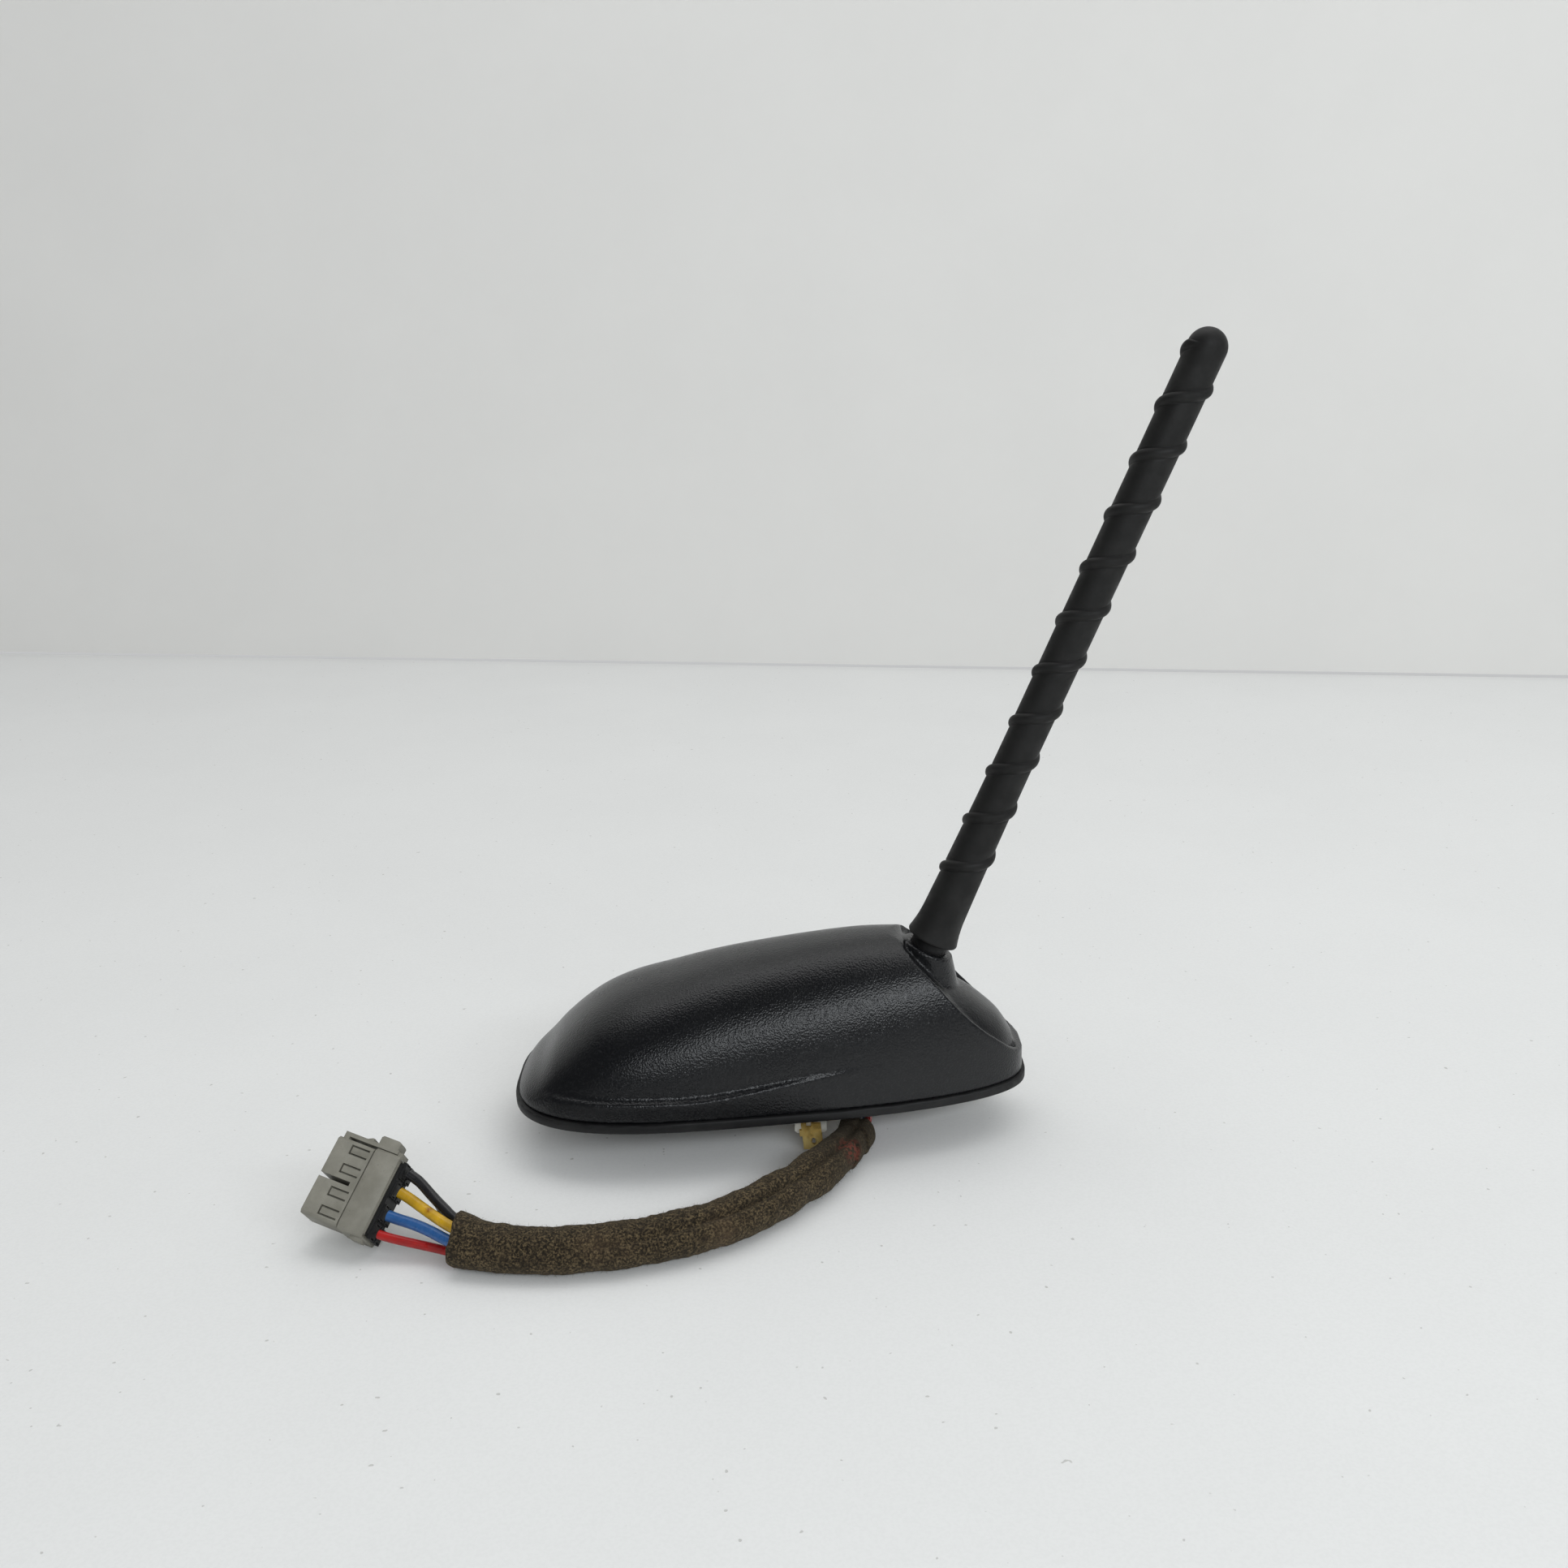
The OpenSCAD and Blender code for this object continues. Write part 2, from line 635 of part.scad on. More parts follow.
// Tubes: rings of points round a route, with the frame carried along it
function unit(v) = v / norm(v);
function directions(route) = [
    for (i = [0:len(route) - 1])
        unit(route[min(i + 1, len(route) - 1)] - route[max(i - 1, 0)])
];
function carried(dirs, list) =
    len(list) >= len(dirs) ? list
    : let (d = dirs[len(list)], n = last(list)) carried(dirs, concat(list, [unit(n - (n * d) * d)]));
function first_normal(d) = unit(cross(d, abs(d[2]) > 0.8 ? [1, 0, 0] : [0, 0, 1]));
function tube_rings(route, radii, sides) =
    let (dirs = directions(route), normals = carried(dirs, [first_normal(dirs[0])]))
    [
        for (i = [0:len(route) - 1])
            let (n = normals[i], b = cross(dirs[i], n))
            [for (k = [0:sides - 1]) let (a = 360 * k / sides) route[i] + radii[i] * (n * cos(a)
                + b * sin(a))]
    ];
module tube(route, d, sides = 8) {
    loft(tube_rings(route, [for (p = route) d / 2], sides));
}

// Route of the sleeve from the base to its mouth
sleeve_route = [
    [14, -18.6, -9.1], [12.2, -24, -9.4], [9.6, -30, -9.5], [4.2, -40, -9.5], [-2.9, -50.2, -9.5],
    [-12.5, -60, -9.5], [-19, -65.8, -9.5], [-25.6, -70.6, -9.5], [-33, -74.4, -9.5], [-40.4, -77.4, -9.5],
    [-54.7, -81.2, -9.5], [-69, -82.8, -9.5], [-78.6, -82.6, -9.5], [-88.5, -81.2, -9.4], [-95, -79.6, -9],
    [-101.5, -77, -8.3]
];
felt_wall = 0.8;
pocket = 3;
sleeve_sides = 12;
function sleeve_r(i) =
    let (n = len(sleeve_route) - 1)
    i >= n ? mouth_d / 2 : i == n - 1 ? (mouth_d + sleeve_d) / 4 + 0.3 :
        i == 0 ? sleeve_d / 2 + 0.4 : sleeve_d / 2;
module harness_sleeve() {
    n = len(sleeve_route) - 1;
    rings = tube_rings(sleeve_route, [for (i = [0:n]) sleeve_r(i)], sleeve_sides);
    inner = tube_rings(sleeve_route, [for (i = [0:n]) sleeve_r(i) - felt_wall], sleeve_sides);
    back = [for (k = [0:pocket - 1]) inner[n - k]];
    deep = [for (p = inner[n - pocket + 1]) p + unit(sleeve_route[n - pocket] - sleeve_route[n -
        pocket + 1])];
    color([0.35, 0.31, 0.24]) loft(concat(rings, back, [deep]));
}
module leads(route, d, shade) {
    color(shade) tube(route, d);
}
route_red = [
    [-122.8, -73.9, -8.8], [-120, -74.8, -9.5], [-114.2, -75.8, -10.7], [-107.5, -76.3, -11.8],
    [-101.7, -77.6, -12.5], [-95.2, -80.2, -12.8], [-88, -81.9, -12.9]
];
route_blue = [
    [-120.7, -70.2, -5.2], [-117.9, -71.1, -5.9], [-112.9, -73.5, -7], [-107.6, -77, -7.9],
    [-102.6, -79.7, -8.5], [-96.1, -82.3, -9.3], [-88.9, -84.1, -9.8]
];
route_yellow = [
    [-118, -65.5, -0.7], [-115.2, -66.4, -1.4], [-110.7, -69.6, -2.8], [-106.4, -74.4, -4.3],
    [-101.8, -77.8, -5.3], [-95.4, -80.5, -6.2], [-88.1, -82.3, -6.8]
];
route_black = [
    [-115.9, -61.8, 3], [-113.1, -62.7, 2.2], [-108.7, -66, 0], [-104.8, -70.8, -2.9],
    [-100.4, -74.3, -4.6], [-94.1, -77.2, -5.8], [-87.5, -79.1, -6.5]
];
route_black_thin = [
    [-115.7, -58.4, -0.7], [-112.9, -59.3, -1.4], [-108.4, -63.3, -3.6], [-104.7, -69.4, -6.4],
    [-100.2, -73.7, -8.1], [-93.8, -76.5, -9.3], [-87.3, -78.3, -9.9]
];
module wire_red() leads(route_red, red_d, [0.6, 0.09, 0.08]);
module wire_blue() leads(route_blue, blue_d, [0.13, 0.34, 0.6]);
module wire_yellow() leads(route_yellow, yellow_d, [0.73, 0.56, 0.12]);
module wire_black() leads(route_black, black_d, [0.05, 0.05, 0.06]);
module wire_black_thin() leads(route_black_thin, black_thin_d, [0.05, 0.05, 0.06]);

// Short ends of the leads between the sleeve and the board, up through the grommet. They keep their
// places in the bundle, each at its own angle round the bundle's middle.
tail_r = 3;
tail_bend = 8.5;
tail_top = board_z - 0.3;
tail_sizes = [red_d, blue_d, yellow_d, black_d, black_thin_d];
tail_shades = [[0.6, 0.09, 0.08], [0.13, 0.34, 0.6], [0.73, 0.56, 0.12], [0.05, 0.05, 0.06],
    [0.05, 0.05, 0.06]];
bundle_route = concat(
    [for (s = [0.2, 3.4]) sleeve_route[0] + s * unit(sleeve_route[0] - sleeve_route[1])],
    [
        for (a = [18:18:90])
            [
                cable_x - 0.3 * (1 - a / 90), cable_y - tail_bend + tail_bend * sin(a),
                sleeve_route[0][2] + 0.1 + tail_bend * (1 - cos(a))
            ]
    ],
    [[cable_x, cable_y, tail_top]]
);
module lead_tails() {
    rings = tube_rings(bundle_route, [for (p = bundle_route) tail_r], 5);
    for (k = [0:4])
        color(tail_shades[k]) tube([for (ring = rings) ring[k]], tail_sizes[k]);
}

// Connector frame: x runs from the mating end to the wire end at 0, z is 0 at the face with the windows
plug_at = [-121.47, -69.66, 0.2];
plug_turn = [41.6, 13.6, -18];
cavity_y = [-9.1, -3.5, 3.5, 9.1];
cavity_z = [-3.6, -8.6];
cavity_w = 3.8;
module at_plug() {
    translate(plug_at) rotate(plug_turn) children();
}
module bevel_bar(l, w, h, c) {
    rotate([90, 0, 90])
        linear_extrude(l)
            polygon([
                [-w / 2 + c, 0], [w / 2 - c, 0], [w / 2, -c], [w / 2, -h + c],
                [w / 2 - c, -h], [-w / 2 + c, -h], [-w / 2, -h + c], [-w / 2, -c]
            ]);
}
window_x = 4.9;
window_l = 5.8;
module window_cut(y) {
    translate([-plug_l + window_x, y, 0]) {
        for (side = [-1, 1]) translate([0, side * 1.15 - 0.25, -1.6]) cube([window_l, 0.5, 3]);
        translate([0, -1.4, -1.6]) cube([0.5, 2.8, 3]);
    }
}
housing_in = 0.6;
slot_w = 1.2;
arm_gap = 0.8;
arm_t = 1.2;
module latch_arm() {
    y0 = plug_w / 2;
    translate([-plug_l, y0, 0]) {
        translate([1, arm_gap, -6.6]) cube([plug_l - 3.6, arm_t, 5.8]);
        translate([1, -1, -6.6]) cube([1.6, arm_gap + 1.2, 5.8]);
        translate([0, arm_gap + arm_t, -5.4])
            linear_extrude(3.4) polygon([[6.8, -0.1], [9.4, -0.1], [9.4, 0.9], [8.8, 0.9]]);
        translate([0, arm_gap + arm_t, 0])
            difference() {
                translate([0, 0, -6.6])
                    linear_extrude(5.8)
                        polygon([[11.6, -0.1], [17.8, -0.1], [17.8, 1.9], [17.2, 2.4],
                            [12.2, 2.4], [11.6, 1.9]]);
                translate([12.4, 1.9, -4.1]) cube([4.8, 1, 0.8]);
            }
    }
}
module connector_housing() {
    body_l = plug_l - 0.8;
    color([0.52, 0.5, 0.47])
        at_plug()
            difference() {
                union() {
                    translate([-plug_l, 0, 0]) bevel_bar(plug_l - lock_l - 0.6, plug_w, plug_t, 0.8);
                    translate([-plug_l + 1, 0, -housing_in])
                        bevel_bar(body_l - 1, plug_w - 2 * housing_in, plug_t - 2 * housing_in, 0.6);
                    latch_arm();
                }
                translate([-plug_l - 1, -slot_w / 2, -plug_t + 2.6])
                    cube([plug_l - lock_l - 1.6, slot_w, plug_t]);
                for (y = cavity_y) window_cut(y);
                for (y = cavity_y, z = cavity_z) {
                    translate([-plug_l + 2.4, y - cavity_w / 2, z - cavity_w / 2])
                        cube([plug_l, cavity_w, cavity_w]);
                    translate([-plug_l - 1, y - 1, z - 1]) cube([5, 2, 2]);
                }
            }
}
module connector_lock() {
    wall = housing_in + 0.5;
    color([0.5, 0.48, 0.46])
        at_plug()
            translate([-lock_l, 0, 0])
                difference() {
                    union() {
                        translate([0, 0, 0.5]) bevel_bar(lock_l - 0.9, plug_w + 1, plug_t + 1, 0.9);
                        translate([lock_l - 4.4, -plug_w / 2 - 1.5, -5.4]) cube([3.4, 1.6, 4.4]);
                        translate([lock_l - 2.4, plug_w / 2 + 0.4, -6.4]) cube([1.4, 1.2, 5.6]);
                    }
                    translate([-1, 0, 0.5 - wall + 0.05])
                        bevel_bar(lock_l + 1, plug_w + 1 - 2 * wall + 0.1, plug_t + 1 - 2 * wall + 0.1, 0.5);
                    translate([-1, plug_w / 2 - 1, -7]) cube([lock_l - 1.5, 4, 6.6]);
                }
}
lead_rows = [
    [cavity_y[0], cavity_z[0], red_d], [cavity_y[1], cavity_z[0], blue_d],
        [cavity_y[2], cavity_z[0], yellow_d],
    [cavity_y[3], cavity_z[0], black_d], [cavity_y[3], cavity_z[1], black_thin_d]
];
seal_out = 2.1;
module wire_seals() {
    cell = cavity_w + 0.9;
    color([0.04, 0.04, 0.045])
        at_plug()
            difference() {
                union() {
                    translate([-0.6, -plug_w / 2 + 1.4, -plug_t + 1.4])
                        cube([1.1, plug_w - 2.8, plug_t - 2.8]);
                    for (y = cavity_y, z = cavity_z) {
                        translate([-4, y - cavity_w / 2 + 0.1, z - cavity_w / 2 + 0.1])
                            cube([4, cavity_w - 0.2, cavity_w - 0.2]);
                        translate([0, y - cell / 2, z - cavity_w / 2]) cube([seal_out, cell, cavity_w]);
                    }
                }
                for (y = cavity_y, z = cavity_z)
                    for (side = [-1, 1])
                        translate([seal_out - 1.1, y + side * 1.95 - 0.2, z - 1.2]) cube([2, 0.4, 2.4]);
            }
}
module terminals() {
    color([0.78, 0.76, 0.7])
        at_plug()
            for (row = lead_rows)
                difference() {
                    translate([-plug_l + 3.2, row[0] - 1.2, row[1] - 1.2]) cube([plug_l - 7.2, 2.4, 2.4]);
                    translate([-plug_l + 2, row[0] - 0.5, row[1] - 0.5]) cube([7, 1, 1]);
                }
}

cover();
gasket();
base_plate();
cover_screws();
circuit_board();
board_screws();
shield_can();
patch_antenna();
contact_spring();
socket_insert();
collar_seal();
mast_sheath();
mast_core();
mast_winding();
mast_ferrule();
fixing_bolt();
clip_block();
retaining_clip();
cable_grommet();
lead_tails();
harness_sleeve();
wire_red();
wire_blue();
wire_yellow();
wire_black();
wire_black_thin();
connector_housing();
connector_lock();
wire_seals();
terminals();
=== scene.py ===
"""Looks for the roof antenna: grained shell, ribbed rubber mast, felt-wrapped harness and its plug."""

import math

import bmesh
import bpy
import numpy as np
from mathutils import Matrix, Vector


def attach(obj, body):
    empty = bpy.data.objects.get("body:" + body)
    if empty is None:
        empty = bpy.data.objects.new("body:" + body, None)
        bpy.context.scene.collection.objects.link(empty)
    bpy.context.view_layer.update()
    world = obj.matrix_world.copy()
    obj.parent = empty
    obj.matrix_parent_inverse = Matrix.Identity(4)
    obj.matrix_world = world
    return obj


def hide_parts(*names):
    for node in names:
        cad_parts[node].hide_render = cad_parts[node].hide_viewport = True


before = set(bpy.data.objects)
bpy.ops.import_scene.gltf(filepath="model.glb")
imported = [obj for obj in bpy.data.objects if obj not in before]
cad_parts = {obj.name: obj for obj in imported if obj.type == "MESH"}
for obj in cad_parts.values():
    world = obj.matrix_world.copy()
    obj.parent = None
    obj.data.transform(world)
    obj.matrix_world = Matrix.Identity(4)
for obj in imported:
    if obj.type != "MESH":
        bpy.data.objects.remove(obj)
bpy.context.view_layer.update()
MM = 0.001
RED_THREADS = (0.0112, -0.0375, -0.0075)  # where the tape's reddish threads show
SHADED_END = (0.006, -0.027, -0.004)  # the middle of the tape's end under the base, darkened there as painted shade from the base above
SCORCH = (-0.1085, -0.0722, -0.0025)  # the brown mark on the yellow lead

# ---------------------------------------------------------------- finishes


class Finish:
    """A procedural material: one Principled shader and the textures that feed it."""

    def __init__(self, name, colour, roughness, metallic=0.0, **sockets):
        self.material = bpy.data.materials.new(name)
        self.material.use_nodes = True
        self.nodes = self.material.node_tree.nodes
        self.links = self.material.node_tree.links
        self.shader = self.nodes["Principled BSDF"]
        self.set(self.shader, "Base Color", (*colour, 1.0))
        self.set(self.shader, "Roughness", roughness)
        self.set(self.shader, "Metallic", metallic)
        for socket, value in sockets.items():
            self.set(self.shader, socket.replace("_", " ").title().replace("Ior", "IOR"), value)
        self.place = self.nodes.new("ShaderNodeTexCoord").outputs["Object"]
        self.relief = None

    def set(self, node, socket, value):
        if isinstance(value, bpy.types.NodeSocket):
            self.links.new(value, node.inputs[socket])
        else:
            node.inputs[socket].default_value = value

    def stretched(self, scale, turn=(0, 0, 0)):
        node = self.nodes.new("ShaderNodeMapping")
        self.set(node, "Vector", self.place)
        self.set(node, "Scale", scale)
        self.set(node, "Rotation", turn)
        return node.outputs[0]

    def cloud(self, scale, detail=3.0, rough=0.55, where=None):
        node = self.nodes.new("ShaderNodeTexNoise")
        self.set(node, "Vector", where or self.place)
        self.set(node, "Scale", scale)
        self.set(node, "Detail", detail)
        self.set(node, "Roughness", rough)
        return node.outputs["Fac"]

    def cells(self, scale, where=None, feature="SMOOTH_F1"):
        node = self.nodes.new("ShaderNodeTexVoronoi")
        node.feature = feature
        self.set(node, "Vector", where or self.place)
        self.set(node, "Scale", scale)
        return node.outputs["Distance"]

    def span(self, value, low, high, out_low=0.0, out_high=1.0):
        node = self.nodes.new("ShaderNodeMapRange")
        node.interpolation_type = "SMOOTHSTEP"
        values = {"Value": value, "From Min": low, "From Max": high, "To Min": out_low, "To Max": out_high}
        for socket, v in values.items():
            self.set(node, socket, v)
        return node.outputs["Result"]

    def times(self, a, b, operation="MULTIPLY"):
        node = self.nodes.new("ShaderNodeMath")
        node.operation = operation
        for i, v in enumerate((a, b)):
            if isinstance(v, bpy.types.NodeSocket):
                self.links.new(v, node.inputs[i])
            else:
                node.inputs[i].default_value = v
        return node.outputs[0]

    def blend(self, share, under, over):
        node = self.nodes.new("ShaderNodeMix")
        node.data_type = "RGBA"
        self.links.new(share, node.inputs[0])
        for i, colour in ((6, under), (7, over)):
            if isinstance(colour, bpy.types.NodeSocket):
                self.links.new(colour, node.inputs[i])
            else:
                node.inputs[i].default_value = (*colour, 1.0)
        return node.outputs[2]

    def near(self, point, reach):
        """1 at a point of the object, falling to 0 at reach from it."""
        node = self.nodes.new("ShaderNodeVectorMath")
        node.operation = "DISTANCE"
        self.links.new(self.place, node.inputs[0])
        node.inputs[1].default_value = point
        return self.span(node.outputs["Value"], 0.0, reach, 1.0, 0.0)

    def colour(self, socket):
        self.links.new(socket, self.shader.inputs["Base Color"])
        return self

    def rough(self, socket):
        self.links.new(socket, self.shader.inputs["Roughness"])
        return self

    def bump(self, height, strength, depth):
        node = self.nodes.new("ShaderNodeBump")
        self.set(node, "Height", height)
        self.set(node, "Strength", strength)
        self.set(node, "Distance", depth)
        if self.relief is not None:
            self.links.new(self.relief, node.inputs["Normal"])
        self.relief = node.outputs[0]
        self.links.new(self.relief, self.shader.inputs["Normal"])
        return self


def shell_grain():
    """Black moulded plastic with a fine grain and a little wear in its gloss."""
    f = Finish("shell_grain", (0.008, 0.0085, 0.0095), 0.42, specular_ior_level=0.42)
    pebble = f.cells(1900.0)
    fine = f.cloud(2600.0, 2.0)
    rubbed = f.cloud(28.0, 5.0, 0.62)
    base = f.blend(f.span(rubbed, 0.35, 0.75), (0.0036, 0.004, 0.005), (0.0066, 0.007, 0.008))
    f.colour(f.blend(f.span(f.cloud(1500.0, 2.0), 0.5, 0.68, 0.0, 0.7), base, (0.014, 0.0145, 0.0155)))
    f.rough(f.span(rubbed, 0.25, 0.8, 0.265, 0.29))
    f.bump(f.times(pebble, f.times(fine, 0.5), "ADD"), 0.8, 0.00013)
    return f.material


def mast_rubber():
    f = Finish("mast_rubber", (0.009, 0.0088, 0.0084), 0.6, specular_ior_level=0.35)
    dust = f.cloud(60.0, 6.0, 0.6)
    f.colour(f.blend(f.span(dust, 0.42, 0.8), (0.0065, 0.0063, 0.006), (0.013, 0.0126, 0.0118)))
    f.rough(f.span(f.cloud(220.0, 3.0), 0.3, 0.7, 0.52, 0.7))
    f.bump(f.cloud(3400.0, 2.0), 0.25, 0.00006)
    return f.material


def soft_rubber():
    f = Finish("soft_rubber", (0.012, 0.012, 0.0125), 0.58, specular_ior_level=0.4)
    f.colour(f.blend(f.span(f.cloud(140.0, 5.0), 0.35, 0.75), (0.0045, 0.0045, 0.005), (0.01, 0.01, 0.01)))
    f.bump(f.cloud(1900.0, 3.0), 0.25, 0.00006)
    return f.material


def brown_felt():
    f = Finish("brown_felt", (0.1, 0.08, 0.05), 0.95, specular_ior_level=0.15, sheen_weight=0.12)
    f.set(f.shader, "Sheen Roughness", 0.6)
    f.set(f.shader, "Sheen Tint", (0.62, 0.53, 0.38, 1.0))
    tuft = f.cloud(1500.0, 4.0, 0.7)
    clump = f.cloud(330.0, 3.0, 0.6)
    worn = f.cloud(45.0, 3.0)
    base = f.blend(f.span(tuft, 0.42, 0.66), (0.008, 0.006, 0.004), (0.13, 0.096, 0.052))
    base = f.blend(f.span(clump, 0.4, 0.7, 0.0, 0.6), base, (0.014, 0.01, 0.007))
    base = f.blend(f.span(worn, 0.5, 0.8, 0.0, 0.3), base, (0.13, 0.085, 0.05))
    # painted shade: the tape is darkened near its end under the base, where the base's shadow falls
    base = f.blend(f.near(SHADED_END, 0.03), base, (0.011, 0.008, 0.0055))
    thread = f.times(f.near(RED_THREADS, 0.0058), f.span(f.cloud(700.0, 3.0), 0.44, 0.54))
    base = f.blend(thread, base, (0.15, 0.03, 0.022))
    f.colour(base)
    f.bump(f.times(tuft, f.times(clump, 0.6), "ADD"), 0.9, 0.0005)
    return f.material


def felt_fibre():
    f = Finish("felt_fibre", (0.15, 0.12, 0.075), 0.9, specular_ior_level=0.2)
    base = f.blend(f.span(f.cloud(1300.0, 2.0), 0.42, 0.62), (0.006, 0.0045, 0.003), (0.21, 0.16, 0.09))
    # painted shade: the fibres are darkened near the tape's end under the base, where the base's shadow falls
    base = f.blend(f.times(f.near(SHADED_END, 0.03), 0.9), base, (0.014, 0.01, 0.007))
    thread = f.times(f.near(RED_THREADS, 0.006), f.span(f.cloud(700.0, 3.0), 0.44, 0.54))
    f.colour(f.blend(thread, base, (0.2, 0.045, 0.035)))
    return f.material


def jacket(name, dark, plain, nick=None):
    """Extruded lead jacket, a little uneven in shade, with an optional brown scorch mark."""
    f = Finish(name, plain, 0.3, specular_ior_level=0.38, coat_weight=0.05)
    shade = f.blend(f.span(f.cloud(260.0, 3.0), 0.3, 0.7), dark, plain)
    if nick:
        ragged = f.span(f.cloud(1400.0, 3.0), 0.3, 0.7, 0.55, 1.0)
        shade = f.blend(f.times(f.near(nick, 0.0019), ragged), shade, (0.16, 0.035, 0.006))
    f.colour(shade)
    f.rough(f.span(f.cloud(500.0, 3.0), 0.3, 0.7, 0.24, 0.4))
    f.bump(f.cloud(700.0, 2.0), 0.2, 0.0001)
    return f.material


def grey_nylon():
    f = Finish("grey_nylon", (0.215, 0.207, 0.185), 0.55, specular_ior_level=0.4)
    grime = f.cloud(170.0, 6.0, 0.65)
    fleck = f.cloud(2100.0, 2.0)
    base = f.blend(f.span(grime, 0.3, 0.75), (0.175, 0.168, 0.138), (0.225, 0.217, 0.182))
    base = f.blend(f.span(fleck, 0.66, 0.76, 0.0, 0.6), base, (0.1, 0.093, 0.08))
    f.colour(base)
    f.rough(f.span(grime, 0.3, 0.7, 0.45, 0.66))
    f.bump(f.cloud(1600.0, 3.0), 0.25, 0.00006)
    return f.material


def white_nylon():
    f = Finish("white_nylon", (0.8, 0.79, 0.73), 0.42)
    f.colour(f.blend(f.span(f.cloud(120.0, 5.0), 0.35, 0.8), (0.8, 0.79, 0.73), (0.6, 0.57, 0.49)))
    f.bump(f.cloud(900.0, 3.0), 0.2, 0.00006)
    return f.material


def yellow_plate():
    f = Finish("yellow_plate", (0.66, 0.47, 0.15), 0.45, 1.0)
    cast = f.cloud(160.0, 4.0, 0.6)
    base = f.blend(f.span(cast, 0.32, 0.7), (0.62, 0.4, 0.1), (0.78, 0.6, 0.24))
    base = f.blend(f.span(f.cloud(420.0, 4.0), 0.62, 0.75, 0.0, 0.7), base, (0.3, 0.15, 0.05))
    f.colour(base)
    f.rough(f.span(f.cloud(700.0, 3.0), 0.3, 0.7, 0.4, 0.58))
    f.bump(f.cloud(1800.0, 3.0), 0.2, 0.00004)
    return f.material


def metal(name, dark, light, roughness, grain=(900, 900, 900)):
    f = Finish(name, light, roughness, 1.0)
    streak = f.cloud(1.0, 4.0, 0.6, f.stretched(grain))
    f.colour(f.blend(f.span(streak, 0.3, 0.7), dark, light))
    f.rough(f.span(streak, 0.3, 0.7, roughness * 0.75, roughness * 1.3))
    f.bump(streak, 0.15, 0.00004)
    return f.material


def board_mask():
    f = Finish("board_mask", (0.02, 0.13, 0.05), 0.35, coat_weight=0.3)
    track = f.span(f.cells(210.0, f.stretched((1, 1, 0.001)), "DISTANCE_TO_EDGE"), 0.03, 0.06)
    f.colour(f.blend(track, (0.05, 0.24, 0.09), (0.016, 0.11, 0.042)))
    f.bump(track, 0.3, 0.00004)
    return f.material


def speckled(name, dark, light, roughness, scale=600.0):
    f = Finish(name, light, roughness)
    f.colour(f.blend(f.span(f.cloud(scale, 4.0), 0.35, 0.7), dark, light))
    f.bump(f.cloud(scale * 3, 2.0), 0.2, 0.00005)
    return f.material


SHELL = shell_grain()
MAST = mast_rubber()
RUBBER = soft_rubber()
FELT = brown_felt()
FIBRE = felt_fibre()
NYLON = grey_nylon()
WHITE = white_nylon()
PLATED = yellow_plate()
ZINC = metal("zinc_steel", (0.5, 0.5, 0.5), (0.68, 0.68, 0.67), 0.32)
TIN = metal("tin_plate", (0.6, 0.6, 0.58), (0.74, 0.74, 0.71), 0.28)
BRASS = metal("turned_brass", (0.55, 0.4, 0.16), (0.74, 0.58, 0.28), 0.3)
CAST = metal("cast_alloy", (0.4, 0.41, 0.42), (0.56, 0.57, 0.58), 0.5)
COPPER = metal("wound_copper", (0.35, 0.13, 0.05), (0.62, 0.28, 0.13), 0.3, (200, 200, 9000))
RED = jacket("red_jacket", (0.24, 0.007, 0.006), (0.38, 0.011, 0.01))
BLUE = jacket("blue_jacket", (0.016, 0.075, 0.22), (0.028, 0.105, 0.29))
YELLOW = jacket("yellow_jacket", (0.38, 0.22, 0.009), (0.56, 0.33, 0.014), SCORCH)
BLACK = jacket("black_jacket", (0.008, 0.008, 0.009), (0.014, 0.014, 0.016))

FINISH_OF = {
    "cover": SHELL, "gasket": RUBBER, "base_plate": CAST, "cover_screws": ZINC, "circuit_board": board_mask(),
    "board_screws": ZINC, "shield_can": TIN,
    "patch_antenna": speckled("fired_ceramic", (0.6, 0.57, 0.5), (0.76, 0.73, 0.66), 0.5),
    "contact_spring": BRASS, "socket_insert": BRASS, "collar_seal": RUBBER, "mast_sheath": MAST,
    "mast_core": speckled("glass_fibre", (0.62, 0.58, 0.42), (0.8, 0.76, 0.6), 0.45), "mast_winding": COPPER,
    "mast_ferrule": ZINC, "fixing_bolt": PLATED, "clip_block": WHITE, "retaining_clip": PLATED,
    "cable_grommet": RUBBER, "lead_tails": BLACK, "connector_housing": NYLON, "connector_lock": NYLON,
    "wire_seals": RUBBER, "terminals": TIN,
}
for node_name, material in FINISH_OF.items():
    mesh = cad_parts[node_name].data
    mesh.materials.clear()
    mesh.materials.append(material)

# ---------------------------------------------------------------- pieces of mesh


def new_piece(name, vertices, faces, material, smooth=True):
    mesh = bpy.data.meshes.new(name)
    mesh.from_pydata([tuple(v) for v in vertices], [], faces)
    mesh.materials.append(material)
    obj = bpy.data.objects.new(name, mesh)
    bpy.context.scene.collection.objects.link(obj)
    if smooth:
        mesh.shade_smooth()
    return obj


def outward(obj):
    bm = bmesh.new()
    bm.from_mesh(obj.data)
    bmesh.ops.remove_doubles(bm, verts=bm.verts, dist=1e-7)
    bmesh.ops.recalc_face_normals(bm, faces=bm.faces)
    bm.to_mesh(obj.data)
    bm.free()
    return obj


def modified(obj, kind, **settings):
    modifier = obj.modifiers.new(kind.lower(), kind)
    for key, value in settings.items():
        setattr(modifier, key, value)
    return obj


def settled(obj):
    """The object with its modifiers made part of its mesh."""
    graph = bpy.context.evaluated_depsgraph_get()
    mesh = bpy.data.meshes.new_from_object(obj.evaluated_get(graph))
    obj.modifiers.clear()
    old = obj.data
    obj.data = mesh
    bpy.data.meshes.remove(old)
    return obj


def stand_for(obj, slot, *nodes):
    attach(obj, "root")
    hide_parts(*nodes)
    return obj


